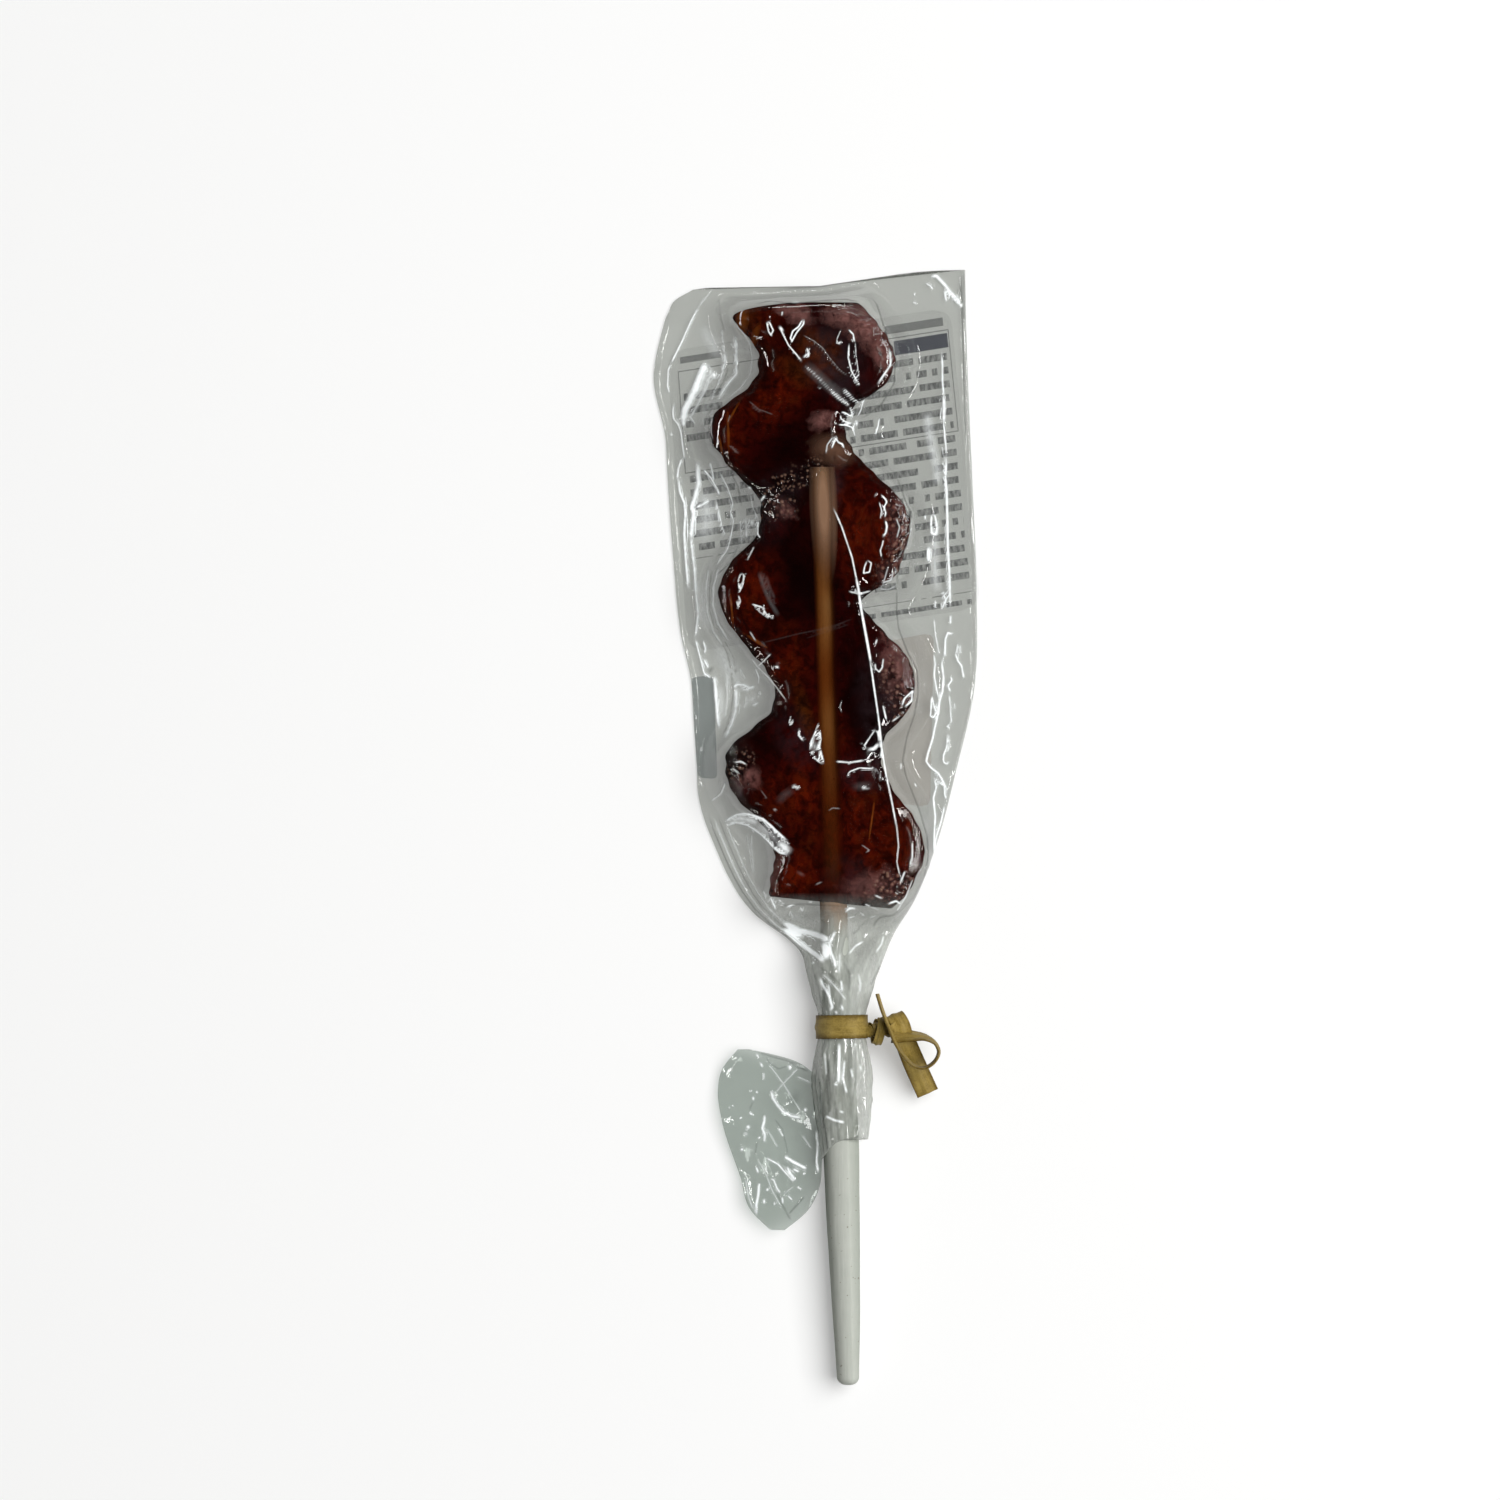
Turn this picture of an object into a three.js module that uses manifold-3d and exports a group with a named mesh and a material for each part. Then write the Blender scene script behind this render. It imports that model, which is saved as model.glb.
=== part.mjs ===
// A wavy strip of hard candy on a rolled paper stick, in a clear film bag whose neck is
// gathered round the stick and held by a paper twist tie.
// Millimetres, +Z up, +Y along the stick towards the candy. The lollipop lies on the flat
// back of its bag. The origin is on the surface under it, in the middle of its box.

import * as THREE from "three";
import { LoftGeometry } from "three/addons/geometries/LoftGeometry.js";
import { mergeVertices } from "three/addons/utils/BufferGeometryUtils.js";
import Module from "manifold-3d";

const { clamp, degToRad, lerp, smoothstep } = THREE.MathUtils;

// Fits
const GAP = 0.3;
const WALL = 0.5;
const WELD = 1e-4;

// Stick, of the common six inch by three sixteenths size
const STICK_LENGTH = 152.4;
const STICK_RADIUS = 2.38;
const STICK_END_ROUND = 1.3;
const STICK_END_STEPS = 4;
const STICK_END_Y = -92.85;
const STICK_TIP_X = 0.5;
const STICK_TIP_Z = 6.4;
const STICK_LEAN = degToRad(1.78);
const STICK_DROP = degToRad(0.9);
const STICK_SIDES = 24;

// Candy, with the crests and roots of its two wavy edges as [y, x]
const CANDY_THICKNESS = 9.0;
const CANDY_BASE = GAP + WALL;
const CANDY_MIDDLE = CANDY_BASE + CANDY_THICKNESS / 2;
const CANDY_LOW_END = -13.6;
const CANDY_HIGH_END = 87.0;
const CANDY_END_ROUND = 3.6;
const CANDY_END_PULL = 1.5;
const CANDY_END_FLAT = 0.3;
const CANDY_SQUARENESS = 2.8;
const CANDY_LEFT_EDGE = [
  [-13.6, -8.6], [-8.8, -9.6], [-3.4, -7.5], [9.6, -15.3], [22.6, -6.2], [37.1, -16.0],
  [51.9, -8.2], [65.6, -17.7], [78.4, -10.3], [87.0, -14.2],
];
const CANDY_RIGHT_EDGE = [
  [-13.6, 14.0], [-5.7, 18.4], [11.9, 9.8], [23.6, 16.3], [35.6, 7.5], [47.4, 15.3],
  [64.9, 4.8], [76.2, 13.1], [87.0, 8.2],
];
const CANDY_LUMP = 0.24;
const CANDY_ROUND_LUMPS = { x: 0.42, y: 0.29, shiftX: 0.6, shiftY: 0.4 };
const CANDY_SLANT_LUMPS = { x: 0.33, y: -0.47, share: 0.6 };
const CANDY_DROP = { x: 3.0, y: 61.7, radius: 2.2, height: 0.35 };
const CANDY_SIDES = 28;
const CANDY_BODY_STEPS = 33;
const CANDY_END_STEPS = 4;

// Bag, with its two outlines as [y, x] from the mouth to the sealed end
const BAG_LEFT_EDGE = [
  [-24.4, -1.7], [-20.4, -4.2], [-16.4, -9.4], [-12.4, -13.0], [-4.4, -17.0], [3.6, -19.8],
  [22.6, -21.0], [47.6, -24.5], [75.6, -27.2], [85.0, -25.0], [89.4, -20.4],
];
const BAG_RIGHT_EDGE = [
  [-24.4, 10.3], [-18.4, 12.7], [-12.4, 16.3], [-4.4, 19.5], [9.6, 23.3], [22.6, 26.2],
  [39.6, 27.3], [57.6, 25.9], [83.5, 24.8], [89.4, 24.7],
];
const BAG_HIGH_END = 89.4;
const BAG_CORNER_RISE = 3.5;
const BAG_RISE_FROM_X = -6;
const BAG_RISE_TO_X = 25;
const BAG_LIP = 1.2;
const BAG_TENT_REACH = 6.5;
const BAG_TENT_HEIGHT = 6.2;
const BAG_MARGIN_COLUMNS = 5;
const BAG_CANDY_COLUMNS = 16;
const BAG_BACK_COLUMNS = 14;
const BAG_SEAL_STEPS = 2;

// Neck and sleeve of the bag: [y, half width, half height] of the gathered film
const NECK_FROM = CANDY_LOW_END - GAP - WALL;
const NECK_TO = -27;
const NECK_STATIONS = [
  [-53, 4.5, 3.7], [-46, 5.0, 4.1], [-42, 5.1, 4.1], [-37, 4.3, 3.5], [-35.5, 3.95, 3.3],
  [-31.2, 3.95, 3.3], [-29, 4.6, 3.7], [-25, 5.7, 4.0], [-20, 7.5, 4.5],
];
const NECK_X = 4.08;
const NECK_MOUTH_Y = -52.4;
const NECK_STEPS = 17;
const NECK_PLEATS = 7;
const NECK_PLEAT_DEPTH = 0.06;
const RIDGE_COVER = 1.2;
const RIDGE_FLAT = 1.8;
const RIDGE_REACH = 8;
const MOUTH_FLARE_FROM = -39;
const MOUTH_SIDES = 24;
const MOUTH_STEPS = 5;
const MOUTH_OVERCUT = 1;

// Wing of loose film below the tie: left and right outlines as [y, x]
const WING_LEFT_EDGE = [
  [-67.2, -7.8], [-64.4, -10.7], [-58.4, -12.8], [-48.4, -16.0], [-44.0, -16.5], [-40.4, -15.7],
  [-37.2, -13.2],
];
const WING_RIGHT_EDGE = [
  [-67.2, -5.4], [-64.4, -2.0], [-60.2, 0.3], [-56.0, 0.8], [-46.0, 0.8], [-41.1, -0.6],
  [-38.4, -5.8], [-37.2, -11.2],
];
const WING_LOW_END = -67.2;
const WING_HIGH_END = -37.2;
const WING_THICKNESS = 0.8;
const WING_ROOT_Z = 4.4;
const WING_TIP_Z = 1.5;
const WING_TIP_X = -16.5;
const WING_REACH = 17;
const WING_WAVE = { height: 0.55, x: 0.35, y: 0.5 };
const WING_COLUMNS = 10;
const WING_STEPS = 16;

// Twist tie: a paper ribbon with a wire, round the neck, twisted, with two loose ends
const TIE_Y = -33.35;
const TIE_BAND_WIDTH = 3.9;
const TIE_RIBBON_WIDTH = 3.7;
const TIE_CURL_WIDTH = 3.3;
const TIE_THICKNESS = 0.5;
const TIE_TWIST_WIDTH = 2.8;
const TIE_TWIST_THICKNESS = 1.1;
const TIE_TWIST_TURNS = 1.5;
const TIE_TWIST_FROM = 8.5;
const TIE_TWIST_TO = 13.2;
const TIE_TWIST_Y = -33.9;
const TIE_SIDES = 14;
const TIE_TWIST_STEPS = 18;
const TIE_FLAT_STEPS = 10;
const TIE_CURL_STEPS = 34;
const TIE_FLAT_END = [[12.6, -33.9, 5.0], [14.3, -35.2, 4.7], [16.2, -39.4, 4.0], [18.4, -44.5, 3.2]];
const TIE_CURL_END = [
  [12.8, -34.2, 5.5], [18.0, -34.6, 6.5], [20.2, -37.2, 7.3], [18.0, -39.9, 8.0], [14.3, -37.9, 8.5],
  [11.8, -33.2, 8.6], [10.0, -27.7, 8.4],
];

// Finishes
const CANDY_FINISH = { color: 0x3a0a05, roughness: 0.12 };
const STICK_FINISH = { color: 0xe6e6df, roughness: 0.75 };
const FILM_FINISH = { color: 0xc9cdc8, roughness: 0.1, transparent: true, opacity: 0.35 };
const TIE_FINISH = { color: 0x8a7741, roughness: 0.7 };

const wasm = await Module();
wasm.setup();

// A welded solid made from the closed faces of a geometry.
function toSolid(geometry) {
  const bare = new THREE.BufferGeometry();
  bare.setAttribute("position", geometry.getAttribute("position"));
  bare.setIndex(geometry.getIndex());
  const welded = mergeVertices(bare, WELD);
  return new wasm.Manifold(
    new wasm.Mesh({
      numProp: 3,
      vertProperties: new Float32Array(welded.getAttribute("position").array),
      triVerts: new Uint32Array(welded.getIndex().array),
    }),
  );
}

// The faces of a solid as a geometry.
function toGeometry(solid) {
  const faces = solid.getMesh();
  const geometry = new THREE.BufferGeometry();
  geometry.setAttribute("position", new THREE.BufferAttribute(faces.vertProperties, 3));
  geometry.setIndex(new THREE.BufferAttribute(faces.triVerts, 1));
  geometry.computeVertexNormals();
  return geometry;
}

// x as a smooth curve of y through [y, x] stops.
function curveThrough(stops, column = 1) {
  const places = Float64Array.from(stops, (stop) => stop[0]);
  const values = Float64Array.from(stops, (stop) => stop[column]);
  const curve = new THREE.CubicInterpolant(places, values, 1);
  return (y) => curve.evaluate(y)[0];
}

// x as a wave of y that turns back at each [y, x] crest and root.
function waveThrough(stops) {
  const last = stops.length - 1;
  return (y) => {
    const found = stops.findIndex((stop) => stop[0] > y);
    const upper = found < 0 ? last : Math.max(found, 1);
    const [lowY, lowX] = stops[upper - 1];
    const [highY, highX] = stops[upper];
    return lerp(lowX, highX, smoothstep(y, lowY, highY));
  };
}

// Even stations from low to high.
function stations(low, high, steps) {
  return Array.from({ length: steps + 1 }, (_, i) => lerp(low, high, i / steps));
}

// A closed loft through ring sections, with both ends shut.
function capped(sections) {
  return new LoftGeometry(sections, { capStart: true, capEnd: true });
}

const candyLeft = waveThrough(CANDY_LEFT_EDGE);
const candyRight = waveThrough(CANDY_RIGHT_EDGE);
const bagLeft = curveThrough(BAG_LEFT_EDGE);
const bagRight = curveThrough(BAG_RIGHT_EDGE);
const neckHalfWidth = curveThrough(NECK_STATIONS, 1);
const neckHalfHeight = curveThrough(NECK_STATIONS, 2);
const wingLeft = curveThrough(WING_LEFT_EDGE);
const wingRight = curveThrough(WING_RIGHT_EDGE);

// Unit vector along the stick from its outer end to its tip.
const stickAlong = new THREE.Vector3(
  -Math.sin(STICK_LEAN) * Math.cos(STICK_DROP),
  Math.cos(STICK_LEAN) * Math.cos(STICK_DROP),
  Math.sin(STICK_DROP),
);
const stickEnd = new THREE.Vector3(
  STICK_TIP_X - stickAlong.x * STICK_LENGTH,
  STICK_END_Y,
  STICK_TIP_Z - stickAlong.z * STICK_LENGTH,
);

// Point on the axis of the stick at a given y.
function stickAt(y) {
  return stickEnd.clone().addScaledVector(stickAlong, (y - stickEnd.y) / stickAlong.y);
}

// Round rod about +Y from 0 to a length, its lower rim rounded.
function rod(radius, length, round) {
  const profile = new THREE.Path();
  profile.moveTo(0, 0);
  profile.lineTo(radius - round, 0);
  profile.quadraticCurveTo(radius, 0, radius, round);
  profile.lineTo(radius, length);
  profile.lineTo(0, length);
  return new THREE.LatheGeometry(profile.getPoints(STICK_END_STEPS), STICK_SIDES);
}

// Places a rod that is made about +Y on the axis of the stick.
function alongStick(object) {
  object.position.copy(stickEnd);
  object.quaternion.setFromUnitVectors(new THREE.Vector3(0, 1, 0), stickAlong);
  object.updateMatrix();
  return object;
}

// Room for the stick: its rod, wider and longer by the gap.
function stickBore() {
  const room = alongStick(new THREE.Object3D());
  const geometry = rod(STICK_RADIUS + GAP, STICK_LENGTH + GAP, 0);
  return toSolid(geometry.applyMatrix4(room.matrix));
}

// Edges and half height of the candy at y, grown all round by a given room.
function candyProfile(y, grow) {
  const inset = Math.min(y - CANDY_LOW_END + grow, CANDY_HIGH_END + grow - y);
  const fullness = Math.sqrt(1 - (1 - clamp(inset / CANDY_END_ROUND, 0, 1)) ** 2);
  const pull = CANDY_END_PULL * (1 - fullness) - grow;
  return {
    left: candyLeft(y) + pull,
    right: candyRight(y) - pull,
    half: (CANDY_THICKNESS / 2) * lerp(CANDY_END_FLAT, 1, fullness) + grow,
  };
}

// Low lumps of the poured face, and the clear drop over the tip of the stick.
function candyLumps(x, y) {
  const bumps = CANDY_ROUND_LUMPS;
  const slant = CANDY_SLANT_LUMPS;
  const high = Math.sin(bumps.x * x + bumps.shiftX) * Math.sin(bumps.y * y + bumps.shiftY);
  const low = slant.share * Math.sin(slant.x * x + slant.y * y);
  const reach = Math.hypot(x - CANDY_DROP.x, y - CANDY_DROP.y) / CANDY_DROP.radius;
  return CANDY_LUMP * (high + low) + CANDY_DROP.height * Math.exp(-(reach ** 2));
}

// A sine or cosine drawn out towards its ends, so that an oval turns squarer.
function rounded(value) {
  return Math.sign(value) * Math.abs(value) ** (2 / CANDY_SQUARENESS);
}

// One flattened oval section of the candy.
function candySection(y, grow) {
  const { left, right, half } = candyProfile(y, grow);
  return Array.from({ length: CANDY_SIDES }, (_, i) => {
    const turn = (i / CANDY_SIDES) * 2 * Math.PI;
    const x = (left + right) / 2 - ((right - left) / 2) * rounded(Math.cos(turn));
    const lift = Math.max(Math.sin(turn), 0) * candyLumps(x, y) * (half / CANDY_THICKNESS) * 2;
    return new THREE.Vector3(x, y, CANDY_MIDDLE + half * rounded(Math.sin(turn)) + lift);
  });
}

// Places of the sections along the candy, closer together at its rounded ends.
function candyStations(grow) {
  const low = CANDY_LOW_END - grow;
  const high = CANDY_HIGH_END + grow;
  const ease = Array.from({ length: CANDY_END_STEPS }, (_, i) => {
    return CANDY_END_ROUND * (1 - Math.cos((i / CANDY_END_STEPS) * (Math.PI / 2)));
  });
  return [
    ...ease.map((step) => low + step),
    ...stations(low + CANDY_END_ROUND, high - CANDY_END_ROUND, CANDY_BODY_STEPS),
    ...ease.map((step) => high - step).reverse(),
  ];
}

// The candy strip, or with some room added the pocket that holds it.
function candyBody(grow) {
  return toSolid(capped(candyStations(grow).map((y) => candySection(y, grow))));
}

// Height of the film's upper face: over the candy and stick, then down to the flat lip.
function filmTop(x, y) {
  const { left, right, half } = candyProfile(y, GAP + WALL);
  const middle = (left + right) / 2;
  const reach = (right - left) / 2;
  const aside = Math.abs(x - middle);
  const below = CANDY_LOW_END - GAP - WALL - y;
  const above = y - CANDY_HIGH_END - GAP - WALL;
  const beyond = Math.max(below, above, 0);
  const slope = clamp(1 - Math.hypot(Math.max(aside - reach, 0), beyond) / BAG_TENT_REACH, 0, 1);
  const tent = BAG_LIP + (BAG_TENT_HEIGHT - BAG_LIP) * slope ** 2;
  const across = clamp(aside / reach, 0, 1) ** CANDY_SQUARENESS;
  const crown = CANDY_MIDDLE + half * (1 - across) ** (1 / CANDY_SQUARENESS);
  const lumps = Math.max(candyLumps(x, y), 0) * (1 - across);
  const drape = Math.max(tent, stickRidge(x, y));
  return beyond > 0 ? drape : Math.max(drape, crown + lumps);
}

// Height of the fold that the stick holds up below the candy, down to the lip on both sides.
function stickRidge(x, y) {
  if (y > CANDY_LOW_END + CANDY_END_ROUND) {
    return BAG_LIP;
  }
  const axis = stickAt(y);
  const fall = smoothstep(Math.abs(x - axis.x), RIDGE_FLAT, RIDGE_REACH);
  return lerp(axis.z + STICK_RADIUS + RIDGE_COVER, BAG_LIP, fall);
}

// The gathered film round the stick at y, as a pleated oval; turn 0 is its right side.
function neckPoint(y, turn) {
  const pleat = 1 - NECK_PLEAT_DEPTH * 0.5 * (1 - Math.cos(NECK_PLEATS * turn));
  return new THREE.Vector3(
    NECK_X + neckHalfWidth(y) * pleat * Math.cos(turn),
    y,
    stickAt(y).z + neckHalfHeight(y) * pleat * Math.sin(turn),
  );
}

// The columns of a bag section from its left lip over the candy to its right lip.
function pouchColumns(y) {
  const candy = candyProfile(y, GAP + WALL);
  const left = Math.max(candy.left, bagLeft(y) + BAG_LIP);
  const right = Math.min(candy.right, bagRight(y) - BAG_LIP);
  const middle = (left + right) / 2;
  const reach = (right - left) / 2;
  const margin = Array.from({ length: BAG_MARGIN_COLUMNS }, (_, i) => i / BAG_MARGIN_COLUMNS);
  const crown = Array.from({ length: BAG_CANDY_COLUMNS + 1 }, (_, i) => {
    return middle - reach * Math.cos((i / BAG_CANDY_COLUMNS) * Math.PI);
  });
  return [
    ...margin.map((part) => lerp(bagLeft(y), left, part)),
    ...crown,
    ...margin.map((part) => lerp(bagRight(y), right, part)).reverse(),
  ];
}

// One closed section of the bag: up over the front, then back along the flat back.
function bagSection(y) {
  const gather = smoothstep(y, NECK_TO, NECK_FROM);
  const columns = pouchColumns(y);
  const front = columns.map((x, i) => {
    const turn = Math.PI * (1 - i / (columns.length - 1));
    const edge = i === 0 || i === columns.length - 1;
    const z = edge ? BAG_LIP / 2 : filmTop(x, y);
    return neckPoint(y, turn).lerp(new THREE.Vector3(x, y, z), gather);
  });
  const back = Array.from({ length: BAG_BACK_COLUMNS }, (_, i) => {
    const part = (i + 1) / (BAG_BACK_COLUMNS + 1);
    const flat = new THREE.Vector3(lerp(bagRight(y), bagLeft(y), part), y, 0);
    return neckPoint(y, -Math.PI * part).lerp(flat, gather);
  });
  const sealed = CANDY_HIGH_END + GAP + WALL;
  const rise = BAG_CORNER_RISE * clamp((y - sealed) / (BAG_HIGH_END - sealed), 0, 1);
  const points = [...front, ...back];
  points.forEach((point) => {
    point.y += rise * smoothstep(point.x, BAG_RISE_FROM_X, BAG_RISE_TO_X);
  });
  return points;
}

// The outside of the bag from the mouth of its sleeve to its sealed end.
function bagOutside() {
  const places = [
    ...stations(NECK_MOUTH_Y, NECK_FROM, NECK_STEPS).slice(0, -1),
    ...candyStations(GAP + WALL),
    ...stations(CANDY_HIGH_END + GAP + WALL, BAG_HIGH_END, BAG_SEAL_STEPS).slice(1),
  ];
  return toSolid(capped(places.map(bagSection)));
}

// The flaring inside of the open mouth, from the stick's own room to a thin rim.
function mouthRoom() {
  const sections = stations(NECK_MOUTH_Y - MOUTH_OVERCUT, MOUTH_FLARE_FROM, MOUTH_STEPS).map((y) => {
    const open = smoothstep(y, MOUTH_FLARE_FROM, NECK_MOUTH_Y);
    const axis = stickAt(y);
    const width = lerp(STICK_RADIUS, neckHalfWidth(y) * (1 - NECK_PLEAT_DEPTH) - WALL, open);
    const height = lerp(STICK_RADIUS, neckHalfHeight(y) * (1 - NECK_PLEAT_DEPTH) - WALL, open);
    return Array.from({ length: MOUTH_SIDES }, (_, i) => {
      const turn = (i / MOUTH_SIDES) * 2 * Math.PI;
      const x = lerp(axis.x, NECK_X, open) - width * Math.cos(turn);
      return new THREE.Vector3(x, y, axis.z + height * Math.sin(turn));
    });
  });
  return toSolid(capped(sections));
}

// The flattened, slightly waved wing of film that hangs off the left of the sleeve.
function wingBody() {
  const sections = stations(WING_LOW_END, WING_HIGH_END, WING_STEPS).map((y) => {
    const middle = Array.from({ length: WING_COLUMNS + 1 }, (_, i) => {
      const part = i / WING_COLUMNS;
      const x = lerp(wingLeft(y), wingRight(y), part);
      const rise = lerp(WING_TIP_Z, WING_ROOT_Z, clamp((x - WING_TIP_X) / WING_REACH, 0, 1));
      const wave = WING_WAVE.height * Math.sin(WING_WAVE.y * y + WING_WAVE.x * x);
      return new THREE.Vector3(x, y, rise + wave);
    });
    const half = new THREE.Vector3(0, 0, WING_THICKNESS / 2);
    const upper = middle.map((point) => point.clone().add(half));
    const lower = middle.map((point) => point.clone().sub(half)).reverse();
    return [...upper, ...lower];
  });
  return toSolid(capped(sections));
}

// A flat ribbon along a path; across gives the direction of its width.
function ribbon(path, across, width, thickness, steps) {
  const sections = stations(0, 1, steps).map((part) => {
    const centre = path.getPoint(part);
    const along = path.getTangent(part);
    const side = across(part).projectOnPlane(along).normalize();
    const face = new THREE.Vector3().crossVectors(along, side);
    const corners = [[1, 1], [-1, 1], [-1, -1], [1, -1]];
    return corners.map(([s, f]) => {
      return centre.clone().addScaledVector(side, (s * width) / 2).addScaledVector(face, (f * thickness) / 2);
    });
  });
  return toSolid(capped(sections));
}

// A smooth path through points in space.
function pathThrough(points) {
  return new THREE.CatmullRomCurve3(points.map((point) => new THREE.Vector3(...point)));
}

// The band of the tie: an oval ring that stands clear of the neck by the gap.
function tieBand() {
  const inner = [neckHalfWidth(TIE_Y) + GAP, neckHalfHeight(TIE_Y) + GAP];
  const ring = new THREE.Shape();
  ring.absellipse(0, 0, inner[0] + TIE_THICKNESS, inner[1] + TIE_THICKNESS, 0, 2 * Math.PI);
  const hole = new THREE.Path();
  hole.absellipse(0, 0, inner[0], inner[1], 0, 2 * Math.PI, true);
  ring.holes.push(hole);
  const options = { depth: TIE_BAND_WIDTH, bevelEnabled: false, curveSegments: TIE_SIDES };
  const band = new THREE.ExtrudeGeometry(ring, options);
  band.rotateX(Math.PI / 2);
  band.translate(NECK_X, TIE_Y + TIE_BAND_WIDTH / 2, stickAt(TIE_Y).z);
  return toSolid(band);
}

// The twisted knot beside the band.
function tieTwist() {
  const z = stickAt(TIE_Y).z;
  const path = new THREE.LineCurve3(
    new THREE.Vector3(TIE_TWIST_FROM, TIE_TWIST_Y, z),
    new THREE.Vector3(TIE_TWIST_TO, TIE_TWIST_Y, z),
  );
  const across = (part) => {
    const turn = part * TIE_TWIST_TURNS * 2 * Math.PI;
    return new THREE.Vector3(0, Math.cos(turn), Math.sin(turn));
  };
  return ribbon(path, across, TIE_TWIST_WIDTH, TIE_TWIST_THICKNESS, TIE_TWIST_STEPS);
}

// The loose end that lies flat, and the one that curls back over it on its edge.
function tieEnds() {
  const flat = (part) => new THREE.Vector3(0, 1, 0).applyAxisAngle(new THREE.Vector3(0, 0, 1), -part);
  const upright = () => new THREE.Vector3(0, 0, 1);
  return [
    ribbon(pathThrough(TIE_FLAT_END), flat, TIE_RIBBON_WIDTH, TIE_THICKNESS, TIE_FLAT_STEPS),
    ribbon(pathThrough(TIE_CURL_END), upright, TIE_CURL_WIDTH, TIE_THICKNESS, TIE_CURL_STEPS),
  ];
}

// One named piece with its finish.
function piece(name, geometry, finish) {
  const mesh = new THREE.Mesh(geometry, new THREE.MeshStandardMaterial({ metalness: 0, ...finish }));
  mesh.name = name;
  return mesh;
}

// The candy strip with the bore that holds the stick.
function makeCandy() {
  const solid = candyBody(0).subtract(stickBore());
  return piece("candy", toGeometry(solid), CANDY_FINISH);
}

// The paper stick, its outer rim rounded.
function makeStick() {
  const geometry = rod(STICK_RADIUS, STICK_LENGTH, STICK_END_ROUND);
  return alongStick(piece("stick", geometry, STICK_FINISH));
}

// The bag with its wing, hollowed for the candy, the stick and the open mouth.
function makeBag() {
  const room = candyBody(GAP).add(stickBore()).add(mouthRoom());
  const solid = bagOutside().add(wingBody()).subtract(room);
  return piece("bag", toGeometry(solid), FILM_FINISH);
}

// The twist tie: band, knot and loose ends as one piece.
function makeTie() {
  const solid = [tieTwist(), ...tieEnds()].reduce((whole, part) => whole.add(part), tieBand());
  return piece("tie", toGeometry(solid), TIE_FINISH);
}

const lollipop = new THREE.Group();
lollipop.name = "lollipop";
lollipop.add(makeCandy(), makeStick(), makeBag(), makeTie());

export default lollipop;
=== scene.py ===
"""Looks of a wrapped lollipop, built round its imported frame.

Shapes are worked out in millimetres in the frame of the part: +Z up from the surface that the
lollipop lies on, +Y along the stick towards the candy, and the origin under the middle of its box.
"""
import logging
import math
from dataclasses import dataclass, field
from enum import Enum, IntEnum
from typing import Any, ClassVar, Sequence

import bpy
import numpy as np
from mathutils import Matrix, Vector
from numpy.typing import NDArray


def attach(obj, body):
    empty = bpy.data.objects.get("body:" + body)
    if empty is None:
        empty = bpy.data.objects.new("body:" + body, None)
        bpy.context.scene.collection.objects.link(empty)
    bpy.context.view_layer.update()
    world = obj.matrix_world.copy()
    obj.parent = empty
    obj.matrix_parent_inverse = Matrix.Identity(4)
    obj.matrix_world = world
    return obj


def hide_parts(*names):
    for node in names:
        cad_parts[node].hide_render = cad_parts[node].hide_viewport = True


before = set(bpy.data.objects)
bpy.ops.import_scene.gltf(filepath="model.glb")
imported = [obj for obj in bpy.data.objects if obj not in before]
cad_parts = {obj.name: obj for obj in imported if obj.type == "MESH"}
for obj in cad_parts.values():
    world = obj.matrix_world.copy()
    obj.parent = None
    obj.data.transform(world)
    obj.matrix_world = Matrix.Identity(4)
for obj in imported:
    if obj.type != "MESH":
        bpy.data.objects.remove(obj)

Array = NDArray[np.float64]
Pair = tuple[float, float]
Stops = tuple[tuple[float, ...], ...]
Oval = tuple[float, ...]
Box = tuple[float, float, float, float]
Colour = tuple[float, float, float, float]
Material = bpy.types.Material
Layer = bpy.types.Node
Options = dict[Any, Any] | None

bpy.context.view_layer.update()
BODY = "root"
MM = 0.001
TURN = 2.0 * math.pi
WHITE = (1.0, 1.0, 1.0, 1.0)
log = logging.getLogger("lollipop")


class Slot(Enum):
    """Material slots of the part's record."""

    CANDY = "candy"
    STICK = "stick"
    FILM = "film"
    TIE = "tie"


class Seed(IntEnum):
    """Random draws of the uneven surfaces."""

    PAPER = 3
    LEFT_RIM = 4
    RIGHT_RIM = 5
    CRUMBS = 8
    GRAINS = 9
    FANS = 14
    FILM = 15
    SLEEVE = 21
    BACK = 31
    WING = 40
    UPPER_SHEET = 41
    LOWER_SHEET = 44


def srgb(red: int, green: int, blue: int) -> Colour:
    """Linear colour of a screen colour given in 0 to 255."""
    parts = np.array((red, green, blue)) / 255.0
    linear = np.where(parts <= 0.04045, parts / 12.92, ((parts + 0.055) / 1.055) ** 2.4)
    return (*(float(part) for part in linear), 1.0)


def ease(value: Array, low: float, high: float) -> Array:
    """Smooth step 3t^2 - 2t^3, from 0 at low to 1 at high."""
    part = np.clip((value - low) / (high - low), 0.0, 1.0)
    return part * part * (3.0 - 2.0 * part)


def blend(low: Array, high: Array, part: Array) -> Array:
    """Straight blend, low at part 0 and high at part 1."""
    return low + (high - low) * part


def bell(value: Array, width: float) -> Array:
    """Bell exp(-(v/w)^2), 1 in the middle."""
    return np.exp(-((value / width) ** 2))


def fold(phase: Array) -> Array:
    """Triangle wave with one sharp fold a unit, 1 on its crests and -1 in its valleys."""
    return 1.0 - 4.0 * np.abs(phase - np.round(phase))


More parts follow.
